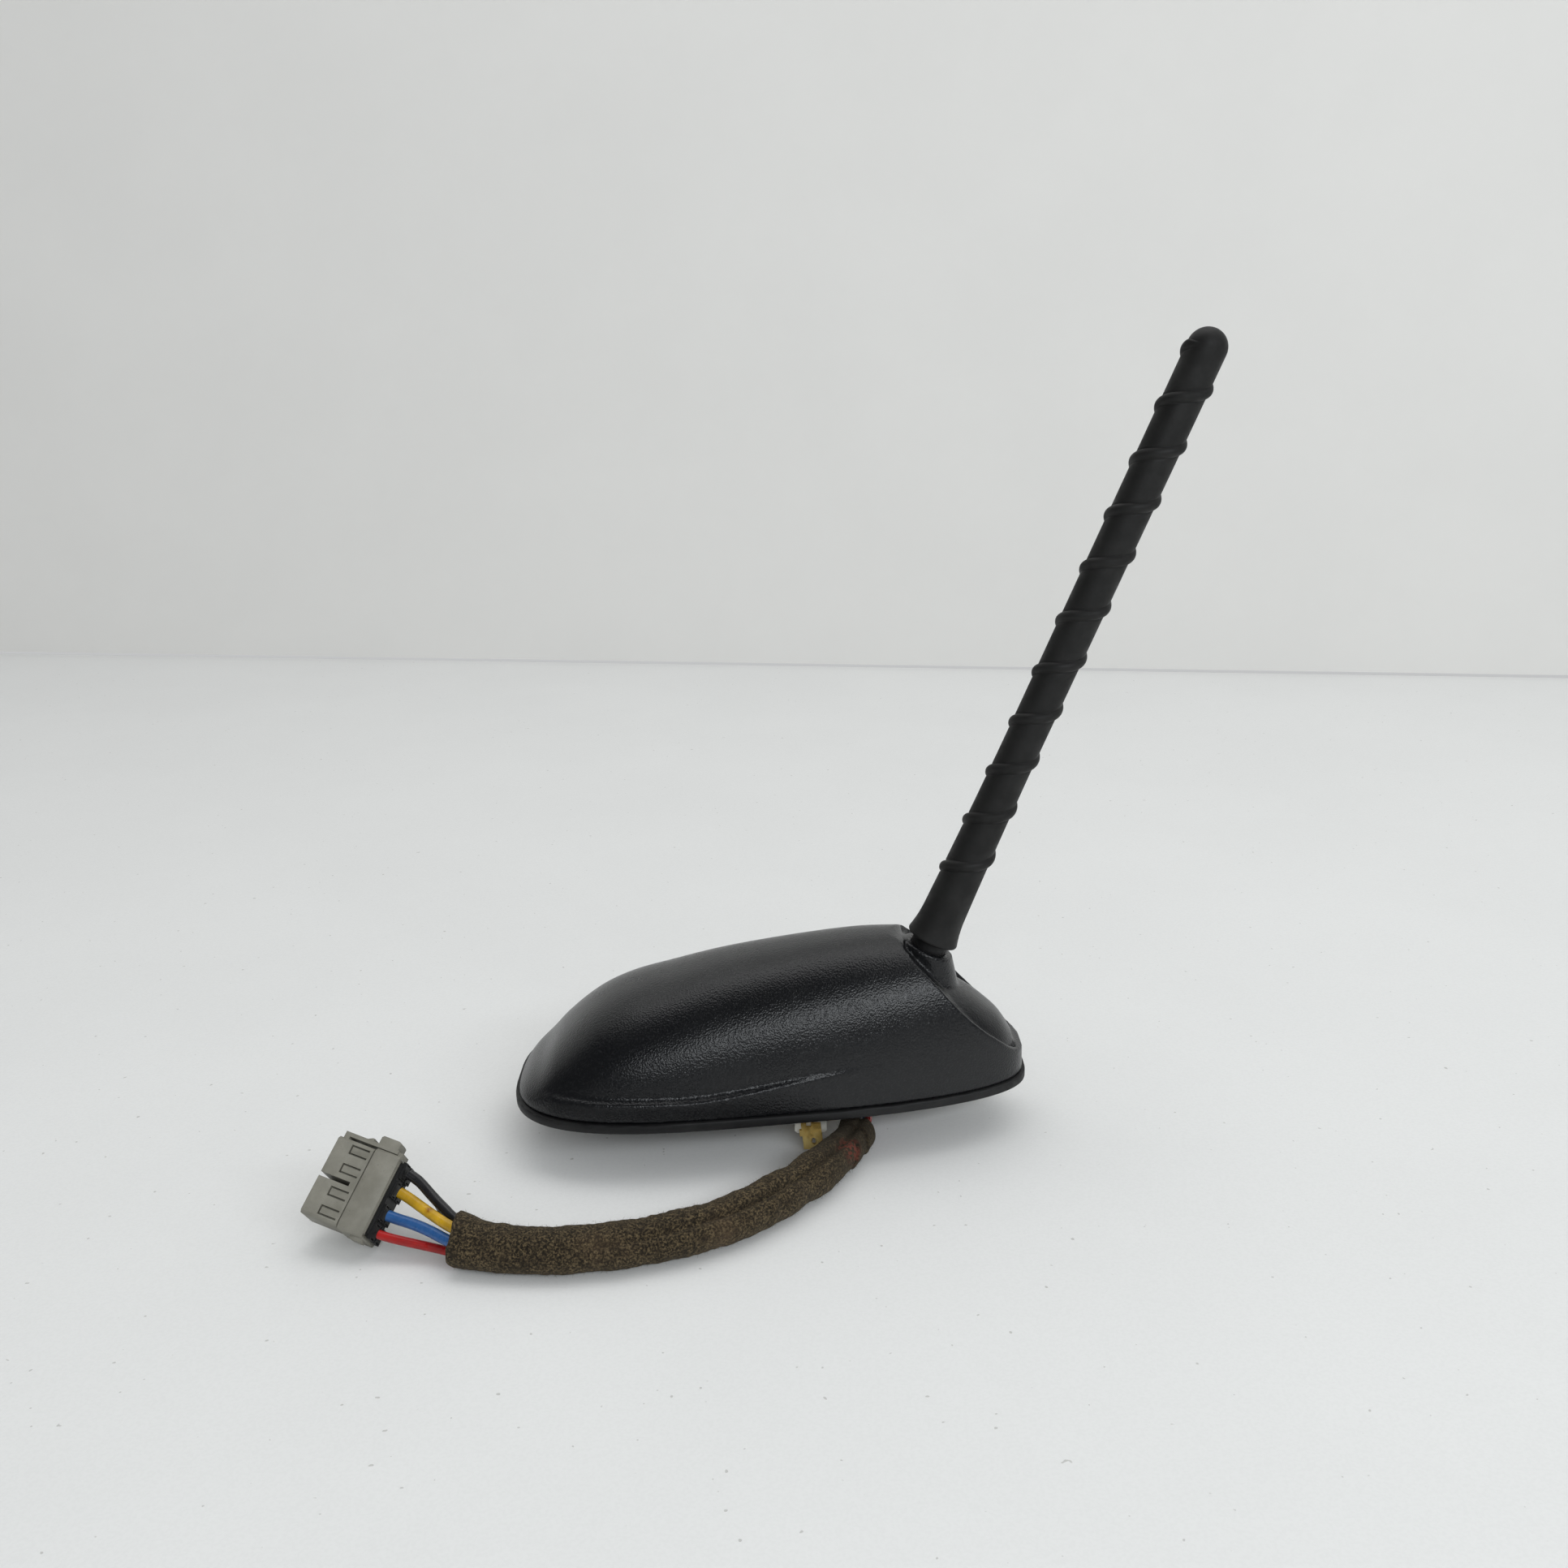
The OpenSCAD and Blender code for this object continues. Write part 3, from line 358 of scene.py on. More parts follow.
def eased(node, slot, radius, segments=2, reshape=None, flat=False):
    """A copy of a CAD piece with its sharp edges broken, as moulding and plating leave them."""
    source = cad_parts[node]
    obj = bpy.data.objects.new(node + "_eased", source.data.copy())
    bpy.context.scene.collection.objects.link(obj)
    bm = bmesh.new()
    bm.from_mesh(obj.data)
    bmesh.ops.remove_doubles(bm, verts=bm.verts, dist=2e-6)
    bmesh.ops.dissolve_limit(bm, angle_limit=math.radians(1.5), verts=bm.verts, edges=bm.edges)
    if reshape:
        reshape(bm)
    bm.to_mesh(obj.data)
    bm.free()
    modified(obj, "BEVEL", width=radius, segments=segments, limit_method="ANGLE", angle_limit=math.radians(35),
             use_clamp_overlap=True, harden_normals=True)
    settled(obj)
    if flat:
        obj.data.shade_flat()
    else:
        obj.data.shade_smooth()
        mark_sharp(obj, 40)
    return stand_for(obj, slot, node)


def mark_sharp(obj, degrees):
    bm = bmesh.new()
    bm.from_mesh(obj.data)
    limit = math.radians(degrees)
    for edge in bm.edges:
        edge.smooth = not (len(edge.link_faces) == 2 and edge.calc_face_angle(0) > limit)
    bm.to_mesh(obj.data)
    bm.free()


def loft(name, rings, material):
    """A closed solid through rings of points that have the same count."""
    count = len(rings[0])
    vertices = np.concatenate(rings)
    faces = [list(range(count))[::-1]]
    for i in range(len(rings) - 1):
        for j in range(count):
            a, b = i * count + j, i * count + (j + 1) % count
            faces.append([a, b, b + count, a + count])
    faces.append([(len(rings) - 1) * count + j for j in range(count)])
    return outward(new_piece(name, vertices, faces, material))


# ---------------------------------------------------------------- shell

# Sizes in mm: length, half width, the plan outline's power and taper, and the middle's x
SHELL_L, SHELL_HW, PLAN_E, TAPER, MID_X = 161.2, 33.4, 2.97, 0.28, -12.0
# Heights of foot and crest, and the power of the section's arch
HALF_L, FOOT_Z, CREST_Z, ARCH_N = SHELL_L / 2, 2.8, 48.8, 2.34
RISE = CREST_Z - FOOT_Z
LOWEST = 0.6
LEDGE, RIM_WIDTH, CHANNEL_DEPTH, DECK_INSET = 1.8, 1.6, 1.7, 2.2
# Side views: share of the half length from the middle, and share of the rise
CREST = [
    (-1, 0.02), (-0.96, 0.1), (-0.9, 0.2), (-0.83, 0.34), (-0.74, 0.48), (-0.65, 0.585), (-0.54, 0.67),
    (-0.4, 0.74), (-0.2, 0.835), (0, 0.905), (0.2, 0.96), (0.35, 0.992), (0.44, 1), (0.6, 1), (0.8, 0.97),
    (0.9, 0.85), (0.96, 0.62), (1, 0.3),
]
DECK = [
    (0.3, 0.86), (0.5, 0.86), (0.58, 0.79), (0.66, 0.7), (0.74, 0.625), (0.82, 0.54), (0.88, 0.46),
    (0.94, 0.36), (1, 0.2),
]
RIM = [
    (0.42, 1.04), (0.47, 1.003), (0.51, 0.985), (0.54, 0.94), (0.58, 0.865), (0.65, 0.74), (0.74, 0.56), (0.82, 0.42),
    (0.9, 0.295), (0.96, 0.2), (1.05, 0.13),
]


def smooth(t):
    s = np.clip(t, 0, 1)
    return s * s * (3 - 2 * s)


def along(line, u):
    """Height of a side view at u, on a smooth curve through its points."""
    x, y = np.array(line, float).T
    slope = np.empty_like(x)
    slope[1:-1] = (y[2:] - y[:-2]) / (x[2:] - x[:-2])
    slope[0], slope[-1] = (y[1] - y[0]) / (x[1] - x[0]), (y[-1] - y[-2]) / (x[-1] - x[-2])
    i = np.clip(np.searchsorted(x, u, side="left") - 1, 0, len(x) - 2)
    w = x[i + 1] - x[i]
    t = np.clip((u - x[i]) / w, 0, 1)
    return (y[i] * (1 + 2 * t) * (1 - t) ** 2 + y[i + 1] * (3 - 2 * t) * t * t
            + slope[i] * w * t * (1 - t) ** 2 - slope[i + 1] * w * t * t * (1 - t))


def plan_hw(u, inset=0.0):
    """Half width of the plan outline at u."""
    return (SHELL_HW - inset) * (1 - TAPER * u) * max(0.0, 1 - abs(u) ** PLAN_E) ** (1 / PLAN_E)


def arched(z, height, n):
    """Share of the half width that an arch of a given power has at the heights z."""
    return np.clip(1 - np.clip(z / height, 0, 1) ** n, 0, 1) ** (1 / n)


def arch(u, inset, height, n, ledge, under=None):
    """One closed section across the shell, with the ledge along each flank, kept under the outer skin."""
    hw = plan_hw(u, inset)
    low = min(5.8 + 6.4 * float(smooth((u + 0.35) / 0.75)), 0.4 * height)
    high = min(low + 1.3, 0.55 * height)
    step = ledge * float(smooth((u + 0.93) / 0.15) * (1 - smooth((u + 0.25) / 0.74)))
    z = np.concatenate([np.linspace(0, low, 7), np.linspace(low, high, 6)[1:]])
    turn = np.linspace(math.asin(min(1, (high / height)) ** (n / 2)), math.pi / 2, 40)[1:]
    z = np.concatenate([z, height * np.sin(turn) ** (2 / n)])
    y = (hw - step * smooth((z - low) / max(high - low, 1e-6))) * arched(z, height, n)
    if under is not None:
        skin = plan_hw(u) * arched(z, max(RISE * float(along(CREST, u)), LOWEST), ARCH_N)
        y = np.minimum(y, np.maximum(skin - under, 0.0))
    x = np.full_like(z, MID_X + (HALF_L - inset) * u)
    near = np.stack([x, -y, FOOT_Z + z], 1)
    far = np.stack([x, y, FOOT_Z + z], 1)[::-1][1:]
    return np.concatenate([near, far]) * MM


def arch_loft(name, start, end, count, line, inset, n, ledge, under=None):
    shares = np.sin(np.linspace(math.asin(start), math.asin(end), count))
    heights = [max(RISE * float(along(line, u)), LOWEST) for u in shares]
    return loft(name, [arch(u, inset, h, n, ledge, under) for u, h in zip(shares, heights)], SHELL)


def side_cut(name, line):
    """A solid right across the shell, whose outline is given as x and z."""
    return loft(name, [np.array([(x, y, z) for x, z in line]) * MM for y in (-80.0, 80.0)], SHELL)


# Where the mast's foot stands, and how far it leans back
MAST_AT = np.array([40.0, 0.0, 46.05])
RAKE = math.radians(23.6)
AXIS = np.array([math.sin(RAKE), 0.0, math.cos(RAKE)])
ACROSS = np.array([math.cos(RAKE), 0.0, -math.sin(RAKE)])


def disc(centre, radius, along_axis=(0, 0, 1), right=(1, 0, 0), count=64):
    a = np.linspace(0, 2 * math.pi, count, endpoint=False)[:, None]
    side = np.cross(along_axis, right)
    return np.array(centre) + radius * (np.cos(a) * np.array(right) + np.sin(a) * side)


def hull_of(name, points, material):
    bm = bmesh.new()
    for p in points:
        bm.verts.new(p * MM)
    found = bmesh.ops.convex_hull(bm, input=bm.verts)
    loose = {g for g in found["geom_interior"] + found["geom_unused"] if isinstance(g, bmesh.types.BMVert)}
    bmesh.ops.delete(bm, geom=list(loose), context="VERTS")
    bmesh.ops.recalc_face_normals(bm, faces=bm.faces)
    mesh = bpy.data.meshes.new(name)
    bm.to_mesh(mesh)
    bm.free()
    mesh.materials.append(material)
    obj = bpy.data.objects.new(name, mesh)
    bpy.context.scene.collection.objects.link(obj)
    return obj


def combined(obj, other, operation):
    modified(obj, "BOOLEAN", object=other, operation=operation, solver="EXACT")
    settled(obj)
    bpy.data.objects.remove(other)
    return obj


LEG_EAR_X, LEG_LEAN, LEG_DROP, LEG_SPREAD = -0.00385, 0.13, 0.0019, 0.0016


def bent_clip(bm):
    """Legs a little longer and out of true, as the used clip is, with its side ears pressed nearly flush."""
    ys = [v.co.y for v in bm.verts]
    zs = [v.co.z for v in bm.verts]
    edge, top, foot = max(ys) - 0.0012, max(zs), min(zs)
    for v in bm.verts:
        if abs(v.co.y) > edge:
            v.co.x = max(v.co.x, LEG_EAR_X)
            drop = top - v.co.z
            v.co.x += LEG_LEAN * drop
            v.co.z -= LEG_DROP * drop / (top - foot)
            v.co.y += math.copysign(LEG_SPREAD * drop / (top - foot), v.co.y)


# The plug's own frame, whose x runs out of its wire end
PLUG_AT = Matrix.Translation(Vector((-0.12147, -0.06966, 0.0002)))
for plug_turn, plug_axis in ((-18, "Z"), (13.6, "Y"), (41.6, "X")):
    PLUG_AT = PLUG_AT @ Matrix.Rotation(math.radians(plug_turn), 4, plug_axis)
COMB_OUT, COMB_SHARE = 0.0003, 0.45


def pressed_seals(bm):
    """The comb sits deeper in the housing than its free length, as a fitted one does."""
    back = PLUG_AT.inverted()
    for v in bm.verts:
        at = back @ v.co
        if at.x > COMB_OUT:
            at.x = COMB_OUT + (at.x - COMB_OUT) * COMB_SHARE
            v.co = PLUG_AT @ at


def make_shell():
    """The outer skin, cut by the rim's line, with the deck let in and the mast's boss on it."""
    body = arch_loft("shell", -0.998, 0.998, 170, CREST, 0.0, ARCH_N, LEDGE)
    shares = np.linspace(RIM[0][0], RIM[-1][0], 70)
    edge = [(MID_X + HALF_L * u, FOOT_Z + RISE * float(along(RIM, u))) for u in shares]
    past, high = MID_X + 2 * HALF_L, 2 * CREST_Z
    edge += [(past, edge[-1][1]), (past, high), (edge[0][0] - 2, high)]
    combined(body, side_cut("cutter", edge), "DIFFERENCE")
    # A channel runs round the deck, inside the rim.
    shares = np.linspace(0.53, 1.0, 40)
    bed = [(MID_X + HALF_L * u, FOOT_Z + RISE * float(along(RIM, u)) - CHANNEL_DEPTH) for u in shares]
    past = MID_X + 1.2 * HALF_L
    bed += [(past, bed[-1][1]), (past, high), (bed[0][0], high)]
    channel = arch_loft("channel", 0.36, 0.985, 60, CREST, RIM_WIDTH, ARCH_N, 0.0)
    combined(channel, side_cut("above", bed), "INTERSECT")
    combined(body, channel, "DIFFERENCE")
    combined(body, arch_loft("deck", 0.36, 0.985, 60, DECK, DECK_INSET, 2.6, 0.0, DECK_INSET), "UNION")
    # The boss: a cone from the mast's collar down to the deck, with a groove for the collar
    ring = MAST_AT - 2.9 * AXIS
    steps = ((0.0, 8.1), (0.5, 8.4), (1.2, 8.4))
    boss = [disc(ring - down * AXIS, radius, AXIS, ACROSS) for down, radius in steps]
    boss += [disc((41.3, 0, z), 9.5) for z in (14.0, 18.0)]
    combined(body, hull_of("boss", np.concatenate(boss), SHELL), "UNION")
    groove = [disc(ring + up * AXIS, 5.95, AXIS, ACROSS) for up in (-0.7, 2.0)]
    combined(body, hull_of("groove", np.concatenate(groove), SHELL), "DIFFERENCE")
    # Remeshing and smoothing give every moulded edge its small radius.
    modified(body, "REMESH", mode="VOXEL", voxel_size=0.00055, adaptivity=0.0)
    modified(body, "SMOOTH", factor=0.5, iterations=3)
    settled(body)
    bm = bmesh.new()
    bm.from_mesh(body.data)
    foot = (FOOT_Z + 0.5) * MM
    underside = [f for f in bm.faces if f.normal.z < -0.95 and f.calc_center_median().z < foot]
    bmesh.ops.dissolve_faces(bm, faces=underside, use_verts=False)
    bm.to_mesh(body.data)
    bm.free()
    body.data.materials.clear()
    body.data.materials.append(SHELL)
    body.data.shade_smooth()
    return stand_for(body, "shell_plastic", "cover")


# ---------------------------------------------------------------- mast, as a tree of nodes


class Value:
    """A number inside a tree of geometry nodes, so that sizes can be written as sums."""

    def __init__(self, tree, source):
        self.tree, self.source = tree, source

    def op(self, name, *others, clamp=False):
        node = self.tree.nodes.new("ShaderNodeMath")
        node.operation = name
        node.use_clamp = clamp
        for i, item in enumerate((self, *others)):
            if isinstance(item, Value):
                self.tree.links.new(item.source, node.inputs[i])
            else:
                node.inputs[i].default_value = item
        return Value(self.tree, node.outputs[0])

    def __add__(self, other):
        return self.op("ADD", other)

    def __sub__(self, other):
        return self.op("SUBTRACT", other)

    def __mul__(self, other):
        return self.op("MULTIPLY", other)

    def __truediv__(self, other):
        return self.op("DIVIDE", other)

    def __pow__(self, other):
        return self.op("POWER", other)

    def clamped(self):
        return self.op("ADD", 0.0, clamp=True)

    def below(self, other):
        return self.op("LESS_THAN", other)

    def choose(self, yes, no):
        return self * (yes - no) + no


def tree_with(name, inputs):
    """An empty tree of geometry nodes with a named input for each size."""
    tree = bpy.data.node_groups.new(name, "GeometryNodeTree")
    tree.interface.new_socket("Geometry", in_out="INPUT", socket_type="NodeSocketGeometry")
    sockets = {}
    for label, value in inputs.items():
        kind = "NodeSocketInt" if isinstance(value, int) else "NodeSocketFloat"
        sockets[label] = tree.interface.new_socket(label, in_out="INPUT", socket_type=kind)
    tree.interface.new_socket("Geometry", in_out="OUTPUT", socket_type="NodeSocketGeometry")
    start, end = tree.nodes.new("NodeGroupInput"), tree.nodes.new("NodeGroupOutput")
    return tree, start, end, sockets


def grown(obj, tree, sockets, inputs):
    """The object with the tree run on it and made part of its mesh."""
    modifier = obj.modifiers.new(tree.name, "NODES")
    modifier.node_group = tree
    for label, value in inputs.items():
        modifier[sockets[label].identifier] = value
    return settled(obj)


RIB_TURN = -0.5 + 2.75 / 16.88


def make_mast():
    """The mast's rubber: a grid rolled into a flared rod with a dome, and a raised helical rib."""
    sizes = {
        "Length": 200.0, "Diameter": 11.7, "Foot Diameter": 16.8, "Flare Run": 72.0, "Rib Pitch": 16.88,
        "Rib Height": 1.0, "Rib Start": 21.0, "Rib End": 195.0, "Rib Radius": 1.9, "Rib Turn": RIB_TURN, "Edge": 0.9,
        "Around": 110, "Rings": 820,
    }
    tree, start, end, sockets = tree_with("ribbed_mast", sizes)
    g = {label: Value(tree, start.outputs[label]) for label in sizes}
    grid = tree.nodes.new("GeometryNodeMeshGrid")
    tree.links.new(start.outputs["Around"], grid.inputs["Vertices X"])
    tree.links.new(start.outputs["Rings"], grid.inputs["Vertices Y"])
    grid.inputs["Size X"].default_value = grid.inputs["Size Y"].default_value = 1.0
    place = tree.nodes.new("ShaderNodeSeparateXYZ")
    tree.links.new(tree.nodes.new("GeometryNodeInputPosition").outputs[0], place.inputs[0])
    turn = (Value(tree, place.outputs[0]) + 0.5) * (2 * math.pi)
    share = Value(tree, place.outputs[1]) + 0.5

    r_top = g["Diameter"] * 0.5
    r_foot = g["Foot Diameter"] * 0.5 - g["Edge"]
    straight = g["Length"] - r_top
    run = share * (r_foot + straight + r_top * (math.pi / 2)) - r_foot
    # A run under 0 crosses the foot's face, and one past the straight climbs the dome.
    arc = (run - straight) / r_top
    in_dome = straight.op("LESS_THAN", run)
    on_face = run.below(0.0)
    z = on_face.choose(run * 0.0, in_dome.choose(straight + r_top * arc.op("SINE"), run))
    flare = (g["Foot Diameter"] - g["Diameter"]) * 0.5
    body = r_top + flare * 0.539 * ((z / g["Flare Run"]) * -1.0 + 1.0).clamped() ** 1.7 \
        + flare * 0.461 * ((z / 10.0) * -1.0 + 1.0).clamped() ** 2.2
    lift = (z / g["Edge"]) * -1.0 + 1.0
    body = body - g["Edge"] + g["Edge"] * (lift.clamped() ** 2.0 * -1.0 + 1.0).op("SQRT")
    # Distance from the rib's line, measured square to it
    rise = z - g["Rib Start"] - g["Rib Pitch"] * (turn / (2 * math.pi) + g["Rib Turn"])
    lap = (rise / g["Rib Pitch"]).op("ROUND")
    off = (rise - lap * g["Rib Pitch"]).op("ABSOLUTE") * 0.925
    bead = (g["Rib Radius"] ** 2.0 - off ** 2.0).op("MAXIMUM", 0.0).op("SQRT") - (g["Rib Radius"] - g["Rib Height"])
    line_z = z - rise + lap * g["Rib Pitch"]
    fade = ((line_z - g["Rib Start"]) / 1.6).clamped() * ((g["Rib End"] - line_z) / 2.0).clamped()
    crease = ((off - 1.75).op("ABSOLUTE") * -2.6 + 1.0).clamped() * 0.22
    bead = (bead.op("MAXIMUM", 0.0) - crease) * fade
    r = on_face.choose(run + r_foot, in_dome.choose(r_top * arc.op("COSINE"), body + bead)).op("MAXIMUM", 0.0)
    joined = tree.nodes.new("ShaderNodeCombineXYZ")
    for i, part in enumerate((r * turn.op("COSINE"), r * turn.op("SINE"), z)):
        tree.links.new((part * MM).source, joined.inputs[i])
    move = tree.nodes.new("GeometryNodeSetPosition")
    tree.links.new(grid.outputs["Mesh"], move.inputs["Geometry"])
    tree.links.new(joined.outputs[0], move.inputs["Position"])
    weld = tree.nodes.new("GeometryNodeMergeByDistance")
    weld.inputs["Distance"].default_value = 2e-6
    real = tree.nodes.new("GeometryNodeRealizeInstances")
    coat = tree.nodes.new("GeometryNodeSetMaterial")
    coat.inputs["Material"].default_value = MAST
    tree.links.new(move.outputs[0], weld.inputs[0])
    tree.links.new(weld.outputs[0], real.inputs[0])
    tree.links.new(real.outputs[0], coat.inputs["Geometry"])
    tree.links.new(coat.outputs[0], end.inputs[0])
    mast = grown(new_piece("mast_rubber_sleeve", [], [], MAST), tree, sockets, sizes)
    outward(mast)
    seat = Matrix.Translation(Vector(MAST_AT * MM)) @ Matrix.Rotation(RAKE, 4, "Y")
    mast.data.transform(seat)
    mast.data.shade_smooth()
    return stand_for(mast, "mast_rubber", "mast_sheath")


# ---------------------------------------------------------------- harness

# Routes in mm: the tape's from the base to its mouth, each lead's from the plug into the tape
SLEEVE_ROUTE = np.array([
    [14.4, -18.6, -9.1], [13.1, -24, -9.4], [10.6, -30, -9.5], [4.9, -40, -9.5], [-2.9, -50.2, -9.5],
    [-12.5, -60, -9.5], [-19, -65.8, -9.5], [-25.6, -70.6, -9.5], [-33, -74.4, -9.5], [-40.4, -77.4, -9.5],
    [-54.7, -81.2, -9.5], [-69, -82.8, -9.5], [-78.6, -82.6, -9.5], [-88.5, -81.2, -9.4], [-95, -79.6, -9],
    [-101.5, -77, -8.3],
], float)
LEAD_ROUTES = {
    "red": [[-122.8, -73.9, -8.8], [-120, -74.8, -9.3], [-114.2, -75.9, -10.3], [-107.5, -76.9, -11.5],
            [-101.7, -78.0, -12.5], [-95.2, -80.2, -12.9], [-88, -81.9, -13.1]],
    "blue": [[-120.7, -70.2, -5.2], [-117.9, -71.1, -5.8], [-112.9, -73.2, -6.3], [-107.6, -76.0, -7.0],
             [-102.6, -79.0, -7.9], [-96.1, -82.0, -9.0], [-88.9, -84.0, -9.8]],
    "yellow": [[-118, -65.5, -0.7], [-115.2, -66.7, -1.9], [-110.7, -69.8, -3.4], [-106.4, -73.5, -4.1],
               [-101.8, -77.0, -4.9], [-95.4, -80.2, -6.2], [-88.1, -82.3, -6.8]],
    "black": [[-115.9, -61.8, 3], [-113.1, -62.9, 1.4], [-108.7, -66.2, -1.7], [-104.8, -70.0, -3.4],
              [-100.4, -73.8, -5.2], [-94.1, -77.0, -6.2], [-87.5, -79.1, -6.7]],
    "black_thin": [[-115.7, -58.4, -0.7], [-112.9, -59.6, -2.5], [-108.4, -63.4, -5.4], [-104.7, -68.7, -7.6],
                   [-100.2, -73.4, -9.0], [-93.8, -76.4, -9.9], [-87.3, -78.3, -10.4]],
}


def flowing(points, count):
    """Points along one smooth curve through the given ones, evenly spread."""
    p = np.array(points, float)
    t = np.concatenate([[0], np.cumsum(np.linalg.norm(np.diff(p, axis=0), axis=1) ** 0.5)])
    m = np.gradient(p, t, axis=0)
    fine = np.linspace(0, t[-1], count * 6)
    i = np.clip(np.searchsorted(t, fine, side="right") - 1, 0, len(t) - 2)
    w = (t[i + 1] - t[i])[:, None]
    s = ((fine - t[i])[:, None]) / w
    q = (p[i] * (1 + 2 * s) * (1 - s) ** 2 + p[i + 1] * (3 - 2 * s) * s * s
         + m[i] * w * s * (1 - s) ** 2 - m[i + 1] * w * s * s * (1 - s))
    d = np.concatenate([[0], np.cumsum(np.linalg.norm(np.diff(q, axis=0), axis=1))])
    at = np.linspace(0, d[-1], count)
    return np.stack([np.interp(at, d, q[:, k]) for k in range(3)], 1)


def frames_of(path):
    """Directions along a path, to its side and upwards."""
    d = np.gradient(path, axis=0)
    d /= np.linalg.norm(d, axis=1)[:, None]
    up = np.array([0, 0, 1.0])
    side = np.cross(d, up)
    side /= np.linalg.norm(side, axis=1)[:, None]
    return d, side, np.cross(side, d)


def ripple(points, seed, sizes, heights):
    """Soft seeded waves over points, for cloth that isn't quite even."""
    rng = np.random.default_rng(seed)
    out = np.zeros(len(points))
    for size, height in zip(sizes, heights):
        for _ in range(7):
            way = rng.normal(size=3)
            way /= np.linalg.norm(way)
            out += height / 2.6 * np.sin(points @ way * (2 * math.pi / size) + rng.uniform(0, 2 * math.pi))
    return out


def make_sleeve():
    """Felt tape rolled into a tube: a lapped seam along it, a flared mouth, and a torn end under the base."""
    path = flowing(SLEEVE_ROUTE, 300)
    d, side, up = frames_of(path)
    length = np.concatenate([[0], np.cumsum(np.linalg.norm(np.diff(path, axis=0), axis=1))])
    from_mouth = length[-1] - length
    a = np.linspace(0, 2 * math.pi, 88, endpoint=False)

    def round_path(i, r):
        return path[i] + np.outer(r * np.cos(a), side[i]) + np.outer(r * np.sin(a), up[i])

    rings, walls = [], []
    for i, run in enumerate(length):
        radius = 6.4 + 1.05 * smooth(1 - from_mouth[i] / 13.0) - 1.6 * smooth(1 - run / 36.0)
        # The lap's edge and the crease beside it wander round the tube.
        seam = float(np.interp(run, (0, 30, 55, 75, 95, 115, 150), (2.1, 2.2, 2.35, 2.4, 2.65, 2.75, 2.8)))
        deep = float(np.interp(run, (0, 20, 62, 88, 108, 150), (1.3, 2.0, 2.2, 1.1, 0.55, 0.45)))
        gap = (a - seam + math.pi) % (2 * math.pi) - math.pi
        lap = 0.25 * deep * np.exp(-np.clip(gap, 0, None) / 0.55) * (gap >= 0)
        lap = lap - deep * np.exp(-((gap + 0.14) / 0.23) ** 2)
        oval = 0.25 * np.cos(2 * (a - 0.4))
        wave = ripple(round_path(i, 1.0), 5, (14.0, 6.0, 2.2), (0.2, 0.11, 0.06))
        # Loose ends of the tape lie over the last turns, on the side of the lead entry.
        outer = (0.5 - 0.5 * np.cos(a + 0.25)) ** 1.6
        flap = 0.9 * outer * (1 - smooth((run - 8.6 - 1.4 * np.sin(2.4 * a)) / 0.4))
        flap = flap + 0.85 * outer * (1 - smooth((run - 16.5 + 1.8 * np.sin(3.1 * a)) / 0.4))
        r = radius + lap + oval + wave + flap
        rings.append(round_path(i, r))
        walls.append(r - 1.0)
    # The mouth's cut edge wanders, and so does the torn end.
    cut = ripple(rings[-1], 21, (9.0, 3.0), (0.35, 0.25)) - 3.0 * (0.5 - 0.5 * np.cos(a - 0.5)) - 0.2
    for i in range(14):
        rings[-1 - i] = rings[-1 - i] + np.outer(cut, d[-1 - i]) * (1 - i / 14)
    tear = ripple(rings[0], 31, (8.0, 3.5), (0.3, 0.25)) + 4.6 * (0.5 - 0.5 * np.cos(a)) ** 1.4
    for i in range(20):
        rings[i] = rings[i] + np.outer(tear * (1 - i / 20), d[i])
    # The tube is open at its mouth, as deep as the leads run in, and closed at the torn end.
    inside = []
    n = len(path) - 1
    back = [i for i in range(n, 0, -1) if from_mouth[i] < 13.4]
    for i in back:
        inside.append(round_path(i, walls[i]) + np.outer(cut, d[i]) * max(0.0, 1 - (n - i) / 14))
    last = back[-1]
    inside += [round_path(last, share * walls[last]) for share in (0.66, 0.33)]
    end_ring, middle = rings[0], rings[0].mean(axis=0)
    for share in (0.85, 0.5, 0.2):
        rings.insert(0, middle + share * (end_ring - middle))
    sleeve = loft("felt_sleeve", [r * MM for r in rings + inside], FELT)
    sleeve.data.shade_smooth()
    stand_for(sleeve, "felt", "harness_sleeve")
    return sleeve


